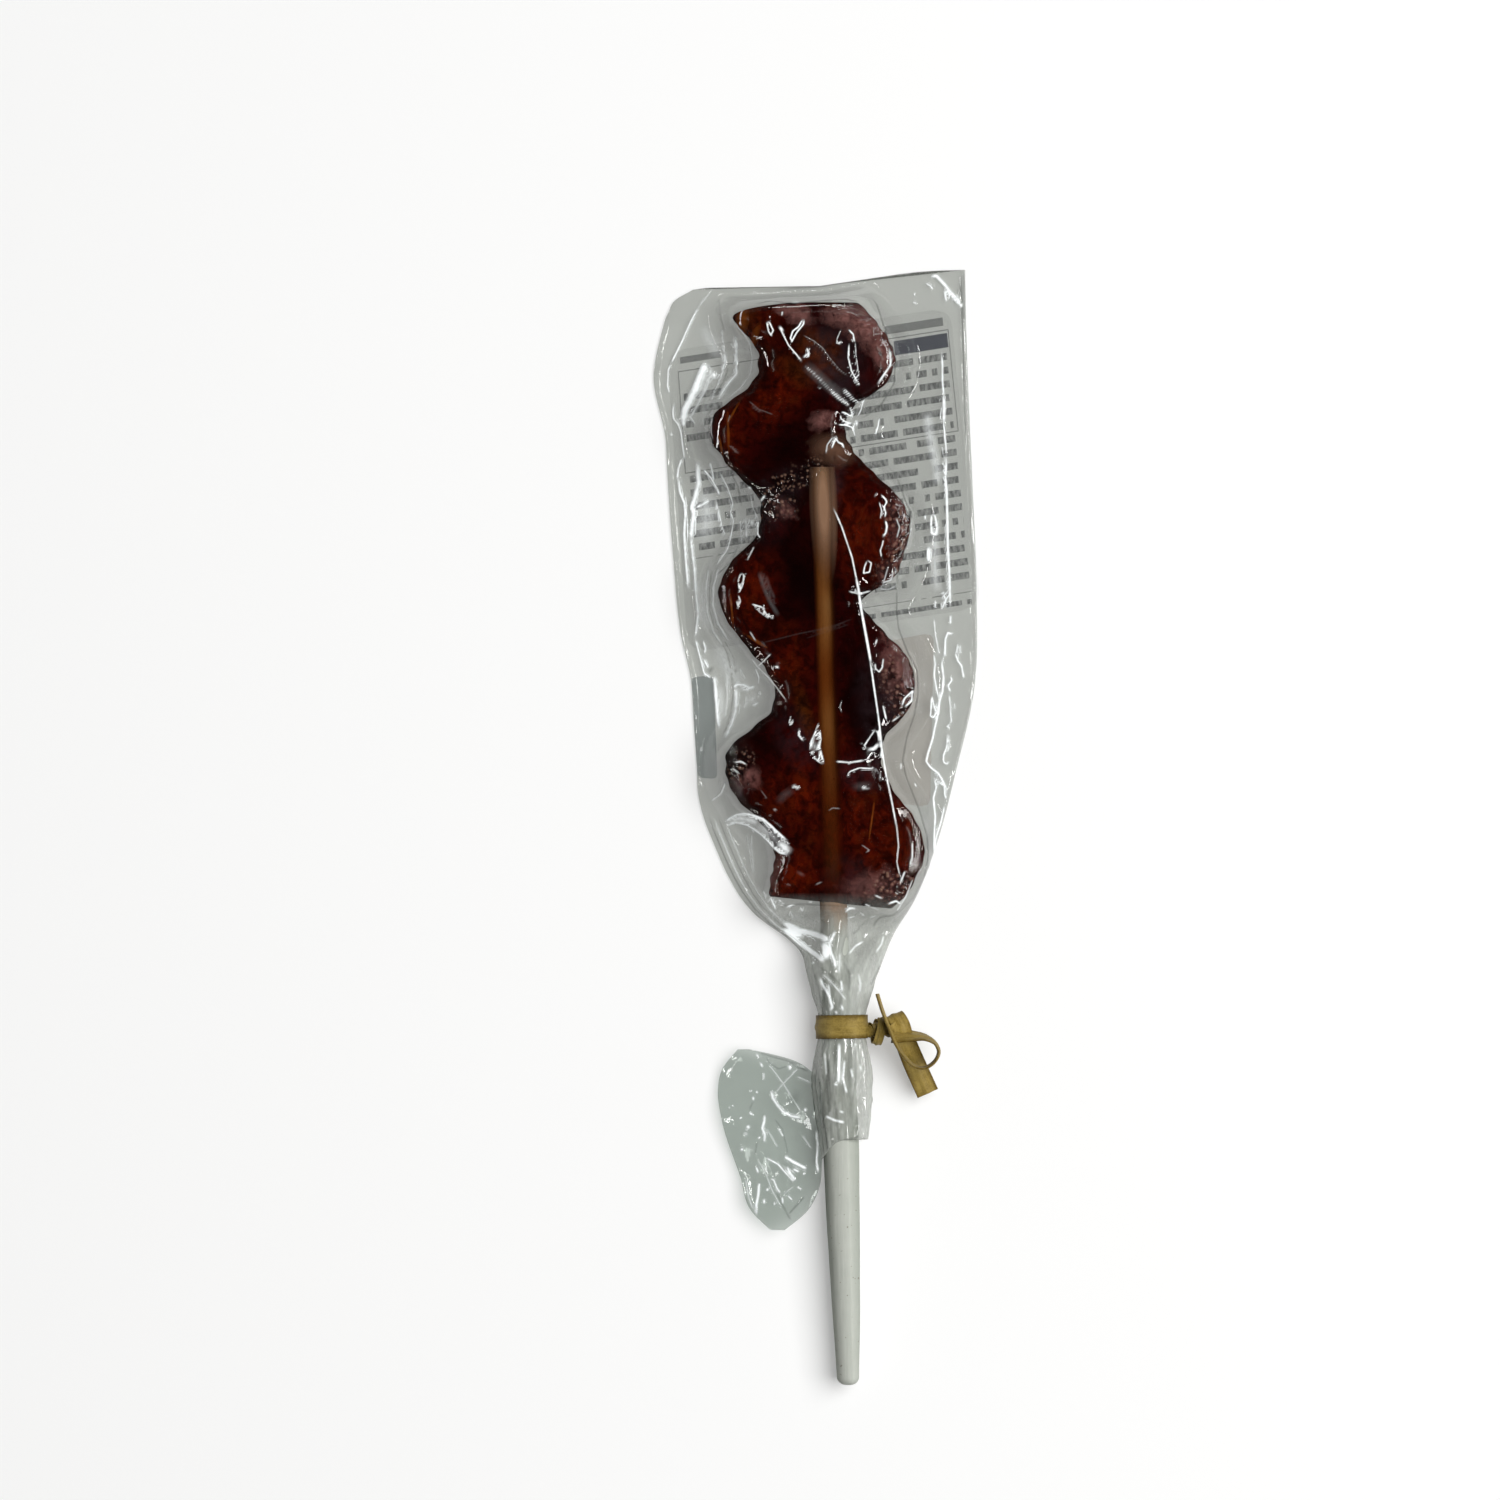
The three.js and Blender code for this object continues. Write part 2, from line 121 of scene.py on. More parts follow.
def curve_through(stops: Stops, at: Array, column: int = 1) -> Array:
    """Smooth cubic through stops, with the slope at each stop taken from its neighbours.

    Args:
        stops: Rows of place and values, in rising places.
        at: Places asked for.
        column: Which value of a row.

    Returns:
        The value at each place.
    """
    table = np.asarray(stops, float)
    places, values = table[:, 0], table[:, column]
    slopes = np.gradient(values, places)
    low = np.clip(np.searchsorted(places, at) - 1, 0, len(places) - 2)
    span = places[low + 1] - places[low]
    part = (at - places[low]) / span
    rise = part * part * (3.0 - 2.0 * part)
    lead = part * (1.0 - part) ** 2 * slopes[low] - part**2 * (1.0 - part) * slopes[low + 1]
    return blend(values[low], values[low + 1], rise) + span * lead


def ripple(x: Array, y: Array, length: float, seed: int, waves: int = 9) -> Array:
    """Even random relief: a sum of sines in random directions, of about one wavelength.

    Args:
        x: Places along X.
        y: Places along Y.
        length: Wavelength.
        seed: Number that picks the directions and shifts.
        waves: How many sines.

    Returns:
        Heights of about -1 to 1.
    """
    dice = np.random.default_rng(seed)
    turns, shifts = dice.uniform(0.0, TURN, (2, waves))
    pitch = TURN / length * dice.uniform(0.7, 1.3, waves)
    phase = x[..., None] * (pitch * np.cos(turns)) + y[..., None] * (pitch * np.sin(turns)) + shifts
    return np.sin(phase).sum(axis=-1) * math.sqrt(2.0 / waves)


def crumple(x: Array, y: Array, length: float, seed: int) -> Array:
    """Sharp creases along the zero lines of a random relief: 1 - |ripple|."""
    return 1.0 - np.minimum(np.abs(ripple(x, y, length, seed, waves=5)), 1.6)


def off_line(x: Array, y: Array, points: Stops) -> tuple[Array, Array]:
    """Distance of each place from a broken line, and how far along it lies.

    Args:
        x: Places along X.
        y: Places along Y.
        points: Corners of the line as x and y.

    Returns:
        The distance to the nearest of its stretches, above 0 on the left of its run, and the run up to
        there as a share of the whole.
    """
    aside, run_to = np.full(np.shape(x), 1e6), np.zeros(np.shape(x))
    corners = np.asarray(points, float)
    lengths = np.hypot(*np.diff(corners, axis=0).T)
    starts = np.cumsum(lengths) - lengths
    for (x0, y0), (x1, y1), before, length in zip(corners, corners[1:], starts, lengths):
        run, rise = (x1 - x0) / length, (y1 - y0) / length
        part = np.clip((x - x0) * run + (y - y0) * rise, 0.0, length)
        reach = np.hypot(x - x0 - part * run, y - y0 - part * rise)
        nearer = reach < np.abs(aside)
        left = run * (y - y0) > rise * (x - x0)
        aside = np.where(nearer, np.where(left, reach, -reach), aside)
        run_to = np.where(nearer, (before + part) / lengths.sum(), run_to)
    return aside, run_to


def oval_reach(x: Array, y: Array, oval: Oval) -> Array:
    """Distance from the middle of a turned oval, 1 on its rim.

    Args:
        x: Places along X.
        y: Places along Y.
        oval: Middle x, middle y, half length, half width and turn in degrees.

    Returns:
        The distance at each place.
    """
    turn = math.radians(oval[4])
    along = (x - oval[0]) * math.cos(turn) + (y - oval[1]) * math.sin(turn)
    across = (y - oval[1]) * math.cos(turn) - (x - oval[0]) * math.sin(turn)
    return np.hypot(along / oval[2], across / oval[3])


def inside_oval(x: Array, y: Array, oval: Oval) -> Array:
    """Soft spot: 1 in the middle of a turned oval, falling as a bell, with the arguments of oval_reach."""
    return np.exp(-oval_reach(x, y, oval) ** 2)


@dataclass
class Skin:
    """A mesh worked out as arrays, in millimetres.

    Attributes:
        points: Corner points, one row each.
        quads: Corner numbers of the four-sided faces.
        triangles: Corner numbers of the three-sided faces.
        flat: Place of each point on the unrolled piece, where its finish follows the surface.
        marks: Named numbers of the points, which a finish reads.
    """

    points: Array
    quads: NDArray[np.int64]
    triangles: NDArray[np.int64] = field(default_factory=lambda: np.zeros((0, 3), np.int64))
    flat: Array | None = None
    marks: dict[str, Array] = field(default_factory=dict)

    @classmethod
    def sheet(cls, grid: Array, flat: Array | None = None) -> "Skin":
        """Open sheet over a grid of rows and columns of points.

        Args:
            grid: Points in rows and columns.
            flat: Unrolled places in the same rows and columns.

        Returns:
            The sheet.
        """
        rows, columns = grid.shape[:2]
        number = np.arange(rows * columns).reshape(rows, columns)
        corners = (number[:-1, :-1], number[:-1, 1:], number[1:, 1:], number[1:, :-1])
        quads = np.stack(corners, axis=-1).reshape(-1, 4)
        return cls(grid.reshape(-1, 3), quads, flat=None if flat is None else flat.reshape(-1, 2))

    @classmethod
    def tube(cls, grid: Array, flat: Array | None = None, shut: tuple[bool, bool] = (True, True)) -> "Skin":
        """Tube through ring sections, closed round each ring and fanned shut at its ends.

        Args:
            grid: Points in rows along the tube and columns round it.
            flat: Unrolled places in the same rows and columns.
            shut: Whether the first and the last ring are closed.

        Returns:
            The tube.
        """
        rows, columns = grid.shape[:2]
        number = np.arange(rows * columns).reshape(rows, columns)
        after = np.roll(number, -1, axis=1)
        quads = np.stack((number[:-1], after[:-1], after[1:], number[1:]), axis=-1).reshape(-1, 4)
        points = [grid.reshape(-1, 3)]
        places = [] if flat is None else [flat.reshape(-1, 2)]
        fans = [np.zeros((0, 3), np.int64)]
        count = rows * columns
        for row, wanted in zip((0, -1), shut):
            if not wanted:
                continue
            middle = np.full(columns, count)
            pair = (after[0], number[0]) if row == 0 else (number[-1], after[-1])
            fans.append(np.stack((middle, *pair), axis=-1))
            points.append(grid[row].mean(axis=0, keepdims=True))
            if flat is not None:
                places.append(flat[row].mean(axis=0, keepdims=True))
            count += 1
        unrolled = None if flat is None else np.concatenate(places)
        return cls(np.concatenate(points), quads, np.concatenate(fans), unrolled)

    def zip_shut(self, ring: NDArray[np.int64]) -> "Skin":
        """Closes a flat ring by faces from its one side to the other.

        Args:
            ring: Point numbers round the ring, the first half opposite the second.

        Returns:
            This skin.
        """
        half = len(ring) // 2
        near, far = ring[:half], ring[half:][::-1]
        strip = np.stack((near[:-1], near[1:], far[1:], far[:-1]), axis=-1)
        self.quads = np.concatenate((self.quads, strip[:, ::-1]))
        return self

    def outward(self) -> "Skin":
        """Turns the faces round where the closed skin is inside out, and returns this skin."""
        a, b, c, d = (self.points[self.quads[:, corner]] for corner in range(4))
        volume = (a * np.cross(b, c)).sum() + (a * np.cross(c, d)).sum()
        a, b, c = (self.points[self.triangles[:, corner]] for corner in range(3))
        if volume + (a * np.cross(b, c)).sum() < 0.0:
            self.quads = self.quads[:, ::-1]
            self.triangles = self.triangles[:, ::-1]
        return self

    def joined(self, other: "Skin") -> "Skin":
        """This unrolled skin and another as one.

        Args:
            other: The skin that is added.

        Returns:
            The joined skin.
        """
        count = len(self.points)
        return Skin(
            np.concatenate((self.points, other.points)),
            np.concatenate((self.quads, other.quads + count)),
            np.concatenate((self.triangles, other.triangles + count)),
            np.concatenate((self.flat, other.flat)),
        )

    def build(self, name: str) -> bpy.types.Object:
        """Makes the Blender object, with its place in its mesh.

        Args:
            name: Name of the object.

        Returns:
            The object, smooth shaded.
        """
        corners = np.concatenate((self.quads.ravel(), self.triangles.ravel())).astype(np.int32)
        quad_count, face_count = len(self.quads), len(self.quads) + len(self.triangles)
        starts = np.concatenate((
            np.arange(quad_count) * 4,
            quad_count * 4 + np.arange(face_count - quad_count) * 3,
        )).astype(np.int32)
        mesh = bpy.data.meshes.new(name)
        mesh.vertices.add(len(self.points))
        mesh.vertices.foreach_set("co", (self.points * MM).astype(np.float32).ravel())
        mesh.loops.add(len(corners))
        mesh.loops.foreach_set("vertex_index", corners)
        mesh.polygons.add(face_count)
        mesh.polygons.foreach_set("loop_start", starts)
        if self.flat is not None:
            layer = mesh.uv_layers.new(name="flat")
            layer.uv.foreach_set("vector", (self.flat * MM)[corners].astype(np.float32).ravel())
        for mark, numbers in self.marks.items():
            mesh.attributes.new(mark, "FLOAT", "POINT").data.foreach_set("value", numbers.astype(np.float32))
        mesh.update(calc_edges=True)
        mesh.validate()
        mesh.shade_smooth()
        piece = bpy.data.objects.new(name, mesh)
        bpy.context.scene.collection.objects.link(piece)
        return piece


def mount(piece: bpy.types.Object, finish: Material, node: str | None = None) -> None:
    """Dresses a piece, lets it ride on the part and hides the CAD solid that it stands for.

    Args:
        piece: The finished object.
        finish: Its material.
        node: The CAD node that the piece replaces, if any.
    """
    piece.data.materials.append(finish)
    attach(piece, BODY)
    if node is not None:
        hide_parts(node)
    log.info("%s: %d faces, %s", piece.name, len(piece.data.polygons), finish.name)


class Value:
    """A shader value: one output, with arithmetic that adds Math nodes."""

    def __init__(self, bench: "Bench", socket: bpy.types.NodeSocket) -> None:
        """Keeps the output and the bench that it belongs to."""
        self.bench = bench
        self.socket = socket

    def math(self, operation: str, *operands: "Value | float", clamp: bool = False) -> "Value":
        """Adds one Math node of a named operation, held between 0 and 1 where clamp is set."""
        settings = {"operation": operation, "use_clamp": clamp}
        return self.bench.value("Math", settings, dict(enumerate(operands)))

    def __add__(self, other: "Value | float") -> "Value":
        """Sum."""
        return self.math("ADD", self, other)

    def __sub__(self, other: "Value | float") -> "Value":
        """Difference."""
        return self.math("SUBTRACT", self, other)

    def __rsub__(self, other: float) -> "Value":
        """Difference from a number."""
        return self.math("SUBTRACT", other, self)

    def __mul__(self, other: "Value | float") -> "Value":
        """Product."""
        return self.math("MULTIPLY", self, other)

    def __truediv__(self, other: "Value | float") -> "Value":
        """Quotient."""
        return self.math("DIVIDE", self, other)

    def __pow__(self, other: "Value | float") -> "Value":
        """Power."""
        return self.math("POWER", self, other)

    def __abs__(self) -> "Value":
        """Size without sign."""
        return self.math("ABSOLUTE", self)

    def __lt__(self, other: "Value | float") -> "Value":
        """1 where this is less."""
        return self.math("LESS_THAN", self, other)

    def __gt__(self, other: "Value | float") -> "Value":
        """1 where this is more."""
        return self.math("GREATER_THAN", self, other)

    def most(self, other: "Value | float") -> "Value":
        """The larger of the two."""
        return self.math("MAXIMUM", self, other)

    def held(self) -> "Value":
        """This value held between 0 and 1."""
        return self.math("ADD", self, 0.0, clamp=True)

    def step(self, low: float, high: float) -> "Value":
        """Straight ramp from 0 at low to 1 at high."""
        return self.math("DIVIDE", self - low, high - low, clamp=True)

    __radd__ = __add__
    __rmul__ = __mul__


class Bench:
    """The node tree of one material or room, and the one method that adds a node to it."""

    FACTOR, FIRST, SECOND, MIXED = 0, 6, 7, 2

    def __init__(self, name: str, room: bool = False) -> None:
        """Starts a material, or the room round the scene, with an empty tree.

        Args:
            name: Its name.
            room: Whether it is the room.
        """
        self.owner = (bpy.data.worlds if room else bpy.data.materials).new(name)
        self.owner.use_nodes = True
        self.tree = self.owner.node_tree
        self.tree.nodes.clear()
        self.output = self.node("OutputWorld" if room else "OutputMaterial")

    def node(self, kind: str, settings: Options = None, inputs: Options = None) -> Layer:
        """Adds any node: its settings first, then the values or links of its sockets.

        Args:
            kind: Blender's name of a shader node.
            settings: Properties of the node.
            inputs: Values or links by the socket's name or number.

        Returns:
            The node.
        """
        node = self.tree.nodes.new("ShaderNode" + kind)
        for name, setting in (settings or {}).items():
            setattr(node, name, setting)
        for name, given in (inputs or {}).items():
            if isinstance(given, Value):
                self.tree.links.new(given.socket, node.inputs[name])
            elif isinstance(given, Layer):
                self.tree.links.new(given.outputs[0], node.inputs[name])
            else:
                node.inputs[name].default_value = given
        return node

    def value(self, kind: str, settings: Options = None, inputs: Options = None, output: Any = 0) -> Value:
        """Adds a node and returns the output of the given name or number."""
        return Value(self, self.node(kind, settings, inputs).outputs[output])

    def places(self, source: str = "Object") -> Value:
        """Object or UV coordinates in millimetres."""
        metres = self.value("TexCoord", output=source)
        settings = {"operation": "SCALE"}
        return self.value("VectorMath", settings, {0: metres, "Scale": 1.0 / MM})

    def parts(self, places: Value) -> tuple[Value, Value, Value]:
        """The three coordinates of a place."""
        split = self.node("SeparateXYZ", inputs={0: places})
        return tuple(Value(self, output) for output in split.outputs)

    def mark(self, name: str) -> Value:
        """A number that the mesh carries."""
        return self.value("Attribute", {"attribute_name": name}, output="Fac")

    def stretched(self, places: Value, scale: Sequence[float], turn: float = 0.0) -> Value:
        """Places scaled along each axis and turned about Z by degrees."""
        inputs = {"Vector": places, "Scale": scale, "Rotation": (0.0, 0.0, math.radians(turn))}
        return self.value("Mapping", inputs=inputs)

    def noise(
        self, places: Value, scale: float, detail: float = 2.0, roughness: float = 0.5, swirl: float = 0.0
    ) -> Value:
        """Soft noise of about 0 to 1, with its lumps a millimetre as scale, drawn about by swirl."""
        finer = {"Detail": detail, "Roughness": roughness, "Distortion": swirl}
        return self.value("TexNoise", inputs={"Vector": places, "Scale": scale} | finer)

    def lumps(self, places: Value, scale: float) -> Value:
        """Rounded lumps, scale of them a millimetre: 0 in their middles and about 0.7 in the cracks."""
        return self.value("TexVoronoi", inputs={"Vector": places, "Scale": scale}, output="Distance")

    def cells(self, places: Value, scale: float) -> Value:
        """Patchwork of flat cells, scale of them a millimetre, each of an even random value."""
        return self.value("TexVoronoi", inputs={"Vector": places, "Scale": scale}, output="Color")

    def spot(self, places: Value, oval: Oval, soft: float, ragged: Value | float = 0.0) -> Value:
        """Spot of a turned oval: 1 inside, with a soft, ragged rim.

        Args:
            places: Coordinates in millimetres.
            oval: Middle x, middle y, half length, half width and turn in degrees.
            soft: Width of the rim as a share of the oval.
            ragged: Value that roughens the rim.

        Returns:
            The spot's share.
        """
        inputs = {
            "Vector": places,
            "Location": (oval[0], oval[1], 0.0),
            "Rotation": (0.0, 0.0, math.radians(oval[4])),
            "Scale": (oval[2], oval[3], 1e6),
        }
        local = self.value("Mapping", {"vector_type": "TEXTURE"}, inputs)
        reach = self.value("VectorMath", {"operation": "LENGTH"}, {0: local}, output="Value")
        return 1.0 - (reach + ragged).step(1.0 - soft, 1.0 + soft)

    def mix(self, share: Value | float, first: Any, second: Any) -> Value:
        """Mixed colour: first at share 0, second at share 1."""
        inputs = {self.FACTOR: share, self.FIRST: first, self.SECOND: second}
        return self.value("Mix", {"data_type": "RGBA"}, inputs, self.MIXED)

    def layer(self, share: Value | float, under: Layer, over: Layer) -> Layer:
        """Mixed shader: under at share 0, over at share 1."""
        return self.node("MixShader", inputs={0: share, 1: under, 2: over})

    def bump(self, height: Value, distance: float) -> Value:
        """Normal bent by a height, with the height's scale in millimetres."""
        return self.value("Bump", inputs={"Height": height, "Distance": distance * MM, "Strength": 1.0})

    def clear(self, colour: Colour) -> Layer:
        """Thin layer that tints what lies behind it."""
        return self.node("BsdfTransparent", inputs={"Color": colour})

    def gloss(self, colour: Colour, roughness: float, normal: Value) -> Layer:
        """Layer that mirrors the room."""
        return self.node("BsdfGlossy", inputs={"Color": colour, "Roughness": roughness, "Normal": normal})

    def matt(self, colour: Any, roughness: float, specular: float = 0.0, more: Options = None) -> Layer:
        """Matt layer of a colour, roughness and share of mirrored light, with values of more sockets."""
        inputs = {"Base Color": colour, "Roughness": roughness, "Specular IOR Level": specular}
        return self.node("BsdfPrincipled", inputs=inputs | (more or {}))

    def shine(self, normal: Value, head_on: float, edge_on: float) -> tuple[Value, Value]:
        """Share of light that a clear face throws back, alike from both its sides: s + (e - s) f^5.

        Args:
            normal: Normal of the face.
            head_on: Share s thrown back where the face is seen head on.
            edge_on: Share e thrown back where it is seen edge on.

        Returns:
            The share and how far the face turns away, f.
        """
        facing = self.value("LayerWeight", inputs={"Blend": 0.5, "Normal": normal}, output="Facing")
        return (head_on + facing ** 5.0 * (edge_on - head_on)).held(), facing

    def finished(self, surface: Layer, inside: Layer | None = None) -> bpy.types.ID:
        """Links the surface and what fills it, and returns the material or room."""
        self.tree.links.new(surface.outputs[0], self.output.inputs["Surface"])
        if inside is not None:
            self.tree.links.new(inside.outputs[0], self.output.inputs["Volume"])
        return self.owner


@dataclass(frozen=True)
class FilmFinish:
    """Clear film: a little grey, darker where it stands steep, glossy, with glowing painted highlights along
    its creases and painted shade lines along some.
    """

    name: str
    tint: Colour = srgb(231, 232, 230)
    steep_tint: Colour = srgb(200, 201, 199)
    # painted highlight: the white of the creases' highlights, which glint makes glow
    painted_crease_highlight: Colour = srgb(226, 230, 230)
    crease_roughness: float = 0.6
    glint: float = 0.35
    # painted shade: darker tint for the creases whose crest is below 0
    painted_crease_shade: Colour = srgb(120, 122, 120)
    haze: Colour = srgb(178, 182, 175)
    head_on_shine: float = 0.042
    edge_on_shine: float = 0.4
    roughness: float = 0.05
    streak: float = 0.05
    streak_scale: tuple[float, float, float] = (0.55, 0.14, 0.3)
    streak_turn: float = 4.0
    squiggle: float = 0.2
    squiggle_scale: float = 0.3
    crest: float = 0.25
    crinkle: float = 0.42
    crinkle_scale: float = 0.85

    def material(self) -> Material:
        """Makes the material: long streaks beside the candy, squiggles over it, creases with painted
        highlights and painted shade lines, and cloudy places.
        """
        bench = Bench(self.name)
        places = bench.places()
        _, along, up = bench.parts(places)
        over = up.step(4.5, 8.5) * along.step(-16.0, -11.0)
        long = bench.noise(bench.stretched(places, self.streak_scale, self.streak_turn), 1.0, 3.0, 0.6)
        short = bench.noise(places, self.squiggle_scale, 1.5, 0.45)
        patchy = bench.noise(places, 0.11, 1.0).step(0.42, 0.62)
        uneven = bench.noise(places, 0.9, 2.0, 0.6).step(0.3, 0.6)
        relief = abs(long - 0.5) * (1.0 - over) * (self.streak * 2.0)
        relief = relief + abs(short - 0.5) * over * patchy * self.squiggle
        fine = bench.noise(places, self.crinkle_scale, 2.5, 0.55)
        relief = relief + abs(fine - 0.5) * bench.mark("film_crinkle") * self.crinkle
        line = (1.0 - abs(bench.mark("fold_aside"))).held()
        crest = bench.mark("fold_crest")
        normal = bench.bump(relief + line * abs(crest) * self.crest, 1.0)
        # painted highlight: a white layer that glows, for the creases
        glow = {"Emission Color": self.painted_crease_highlight, "Emission Strength": self.glint}
        white = bench.matt(self.painted_crease_highlight, self.crease_roughness, more=glow)
        cloud = bench.node("BsdfDiffuse", inputs={"Color": self.haze})
        shine, facing = bench.shine(normal, self.head_on_shine, self.edge_on_shine)
        body = bench.layer(facing ** 2.0, bench.clear(self.tint), bench.clear(self.steep_tint))
        body = bench.layer((bench.mark("film_haze") * (long * 3.6 - 0.8)).held(), body, cloud)
        # painted shade: darker tint along the creases whose crest is below 0
        body = bench.layer((line * crest * -1.0).held(), body, bench.clear(self.painted_crease_shade))
        # painted highlight laid along the creases whose crest is above 0
        body = bench.layer((line * crest * (0.8 + uneven * 0.4)).held(), body, white)
        gloss = bench.gloss(WHITE, self.roughness, normal)
        return bench.finished(bench.layer(shine, body, gloss))


@dataclass(frozen=True)
class CandyFinish:
    """Boiled sugar: see-through and dark in its depth, with amber, pink and crumbly places, painted glow in
    thin streaks and a painted purple-grey sheen of reflected light.
    """

    absorption: ClassVar[tuple[float, float, float]] = (0.18, 0.49, 0.87)
    body: Colour = (0.042, 0.0013, 0.0008, 1.0)
    dark: Colour = (0.0045, 0.0001, 0.0001, 1.0)
    amber: Colour = (0.135, 0.0085, 0.0008, 1.0)
    # painted glow: bright amber of light shining through the sugar
    glow: Colour = (0.42, 0.11, 0.015, 1.0)
    olive: Colour = (0.12, 0.03, 0.004, 1.0)
    pink: Colour = (0.36, 0.155, 0.142, 1.0)
    # painted reflection: purple-grey sheen of reflected light over the dark sugar
    veil: Colour = (0.085, 0.05, 0.062, 1.0)
    fleck: Colour = (0.5, 0.29, 0.21, 1.0)
    drop: Colour = (0.2, 0.1, 0.065, 1.0)
    pale: Colour = (0.64, 0.37, 0.235, 1.0)
    amber_spots: Stops = (
        (-11.6, 82.0, 6.0, 3.4, 75.0), (-14.6, 65.0, 7.0, 2.6, 85.0), (-12.0, 37.9, 6.0, 3.6, 80.0),
        (-7.0, 72.0, 7.0, 3.4, 45.0), (6.0, -1.0, 9.0, 6.0, 0.0), (-4.5, -8.0, 6.5, 4.0, 20.0),
        (15.0, -3.0, 2.6, 7.0, 0.0), (2.0, 14.0, 2.2, 6.0, 8.0), (-3.0, 4.0, 5.0, 5.0, 0.0),
        (11.6, 48.0, 3.2, 6.0, 0.0), (6.6, 50.0, 3.0, 7.0, 0.0), (-5.0, 26.6, 3.6, 4.6, 0.0),
    )
    glow_spots: Stops = (
        (-12.6, 83.2, 2.8, 0.8, 80.0), (-10.6, 80.4, 2.0, 0.5, 70.0), (-14.75, 65.1, 2.2, 0.18, 92.0),
        (-13.9, 68.4, 1.6, 0.15, 62.0), (-10.3, 30.7, 1.5, 0.2, -32.0), (-14.2, 36.0, 2.2, 0.14, 95.0),
        (-8.8, -8.0, 2.6, 0.5, 78.0), (9.0, 1.2, 2.4, 0.13, 82.0), (-16.0, 63.0, 1.6, 0.15, 100.0),
    )
    olive_spots: Stops = (
        (-3.6, 75.6, 3.2, 1.6, -30.0), (-11.6, 84.4, 2.0, 1.4, 80.0), (-2.2, 18.6, 4.4, 0.9, -74.0),
        (0.0, 78.6, 3.4, 1.8, -40.0),
    )
    dark_spots: Stops = (
        (-3.4, 38.0, 3.0, 13.0, -6.0), (6.4, 44.0, 2.4, 10.0, 12.0), (-4.0, 63.0, 7.0, 4.4, 25.0),
        (7.0, 22.0, 4.0, 8.0, 0.0), (12.8, 19.2, 1.3, 1.6, 0.0), (-9.0, 46.5, 3.0, 2.0, 40.0),
    )
    pink_spots: Stops = (
        (-2.9, 84.5, 2.0, 1.5, -4.0), (-5.0, 85.4, 2.0, 0.9, -4.0), (4.4, 84.4, 3.0, 1.7, -10.0),
        (7.8, 82.6, 4.4, 2.6, -45.0), (1.0, 67.2, 1.9, 1.3, 15.0), (10.8, 78.0, 1.6, 3.0, 20.0),
        (-5.8, 52.6, 2.0, 1.3, -40.0), (13.6, 24.0, 6.4, 2.2, -78.0), (-11.2, 8.0, 1.5, 1.6, 20.0),
        (14.3, 47.2, 6.6, 2.0, -86.0), (12.2, 41.2, 2.4, 1.7, 70.0), (-7.4, -7.8, 2.8, 0.9, 76.0),
        (10.0, -10.0, 4.4, 2.2, 8.0),
    )
    # painted reflection: where the purple-grey sheen lies
    painted_sheen_spots: Stops = (
        (3.0, 76.5, 5.4, 3.4, -60.0), (-8.0, 52.0, 5.0, 2.6, 60.0), (-3.4, 14.4, 2.2, 4.0, 28.0),
        (7.0, 9.0, 4.0, 2.0, 0.0), (5.0, -9.5, 2.6, 3.0, 0.0), (3.1, 56.4, 1.0, 3.4, -8.0),
        (11.0, 22.0, 3.0, 7.0, 0.0),
    )
    crumb_spots: Stops = (
        (14.0, 47.0, 6.5, 1.8, -85.0), (13.8, 20.5, 5.0, 2.2, -80.0), (-4.2, 57.0, 4.6, 1.6, 32.0),
        (-13.0, 10.0, 2.6, 1.3, 60.0), (13.0, -9.8, 4.6, 2.0, 20.0), (-7.0, 53.0, 3.0, 2.0, 0.0),
        (12.0, 41.6, 2.6, 1.8, 70.0),
    )
    drop_spot: Oval = (2.6, 62.2, 3.1, 2.2, -10.0)
    tip_haze: Oval = (1.0, 53.0, 9.0, 1.5, 92.0)
    tip_y: float = 59.4
    stick_line: tuple[float, float, float] = (2.35, -0.0311, 1.75)
    head_on_shine: float = 0.012
    edge_on_shine: float = 0.05
    mirror: Colour = (0.8, 0.8, 0.8, 1.0)
    roughness: float = 0.12
    matt_roughness: float = 0.6

    def marks(self, x: Array, y: Array) -> dict[str, Array]:
        """For each kind of patch, the distance to the nearest one, 1 on its rim.

        Args:
            x: Places along X.
            y: Places along Y.

        Returns:
            The distances by the names of the patches.
        """
        kinds = {
            "amber_near": self.amber_spots, "olive_near": self.olive_spots, "dark_near": self.dark_spots,
            "pink_near": self.pink_spots, "painted_sheen_near": self.painted_sheen_spots, "crumbs_near": self.crumb_spots,
        }
        return {
            kind: np.minimum.reduce([oval_reach(x, y, oval) for oval in ovals] + [np.full(x.shape, 5.0)])
            for kind, ovals in kinds.items()
        }

    def patch(self, bench: Bench, kind: str, soft: float, ragged: Value) -> Value:
        """Patches of one kind as a share, with a rim of the given softness that is roughened by ragged."""
        return 1.0 - (bench.mark(kind) + ragged).step(1.0 - soft, 1.0 + soft)

    def streaks(self, bench: Bench, places: Value, ragged: Value) -> Value:
        """The thin streaks of painted glow as one share."""
        whole = bench.spot(places, self.glow_spots[0], 0.7, ragged)
        for oval in self.glow_spots[1:]:
            whole = whole.most(bench.spot(places, oval, 0.7, ragged))
        return whole

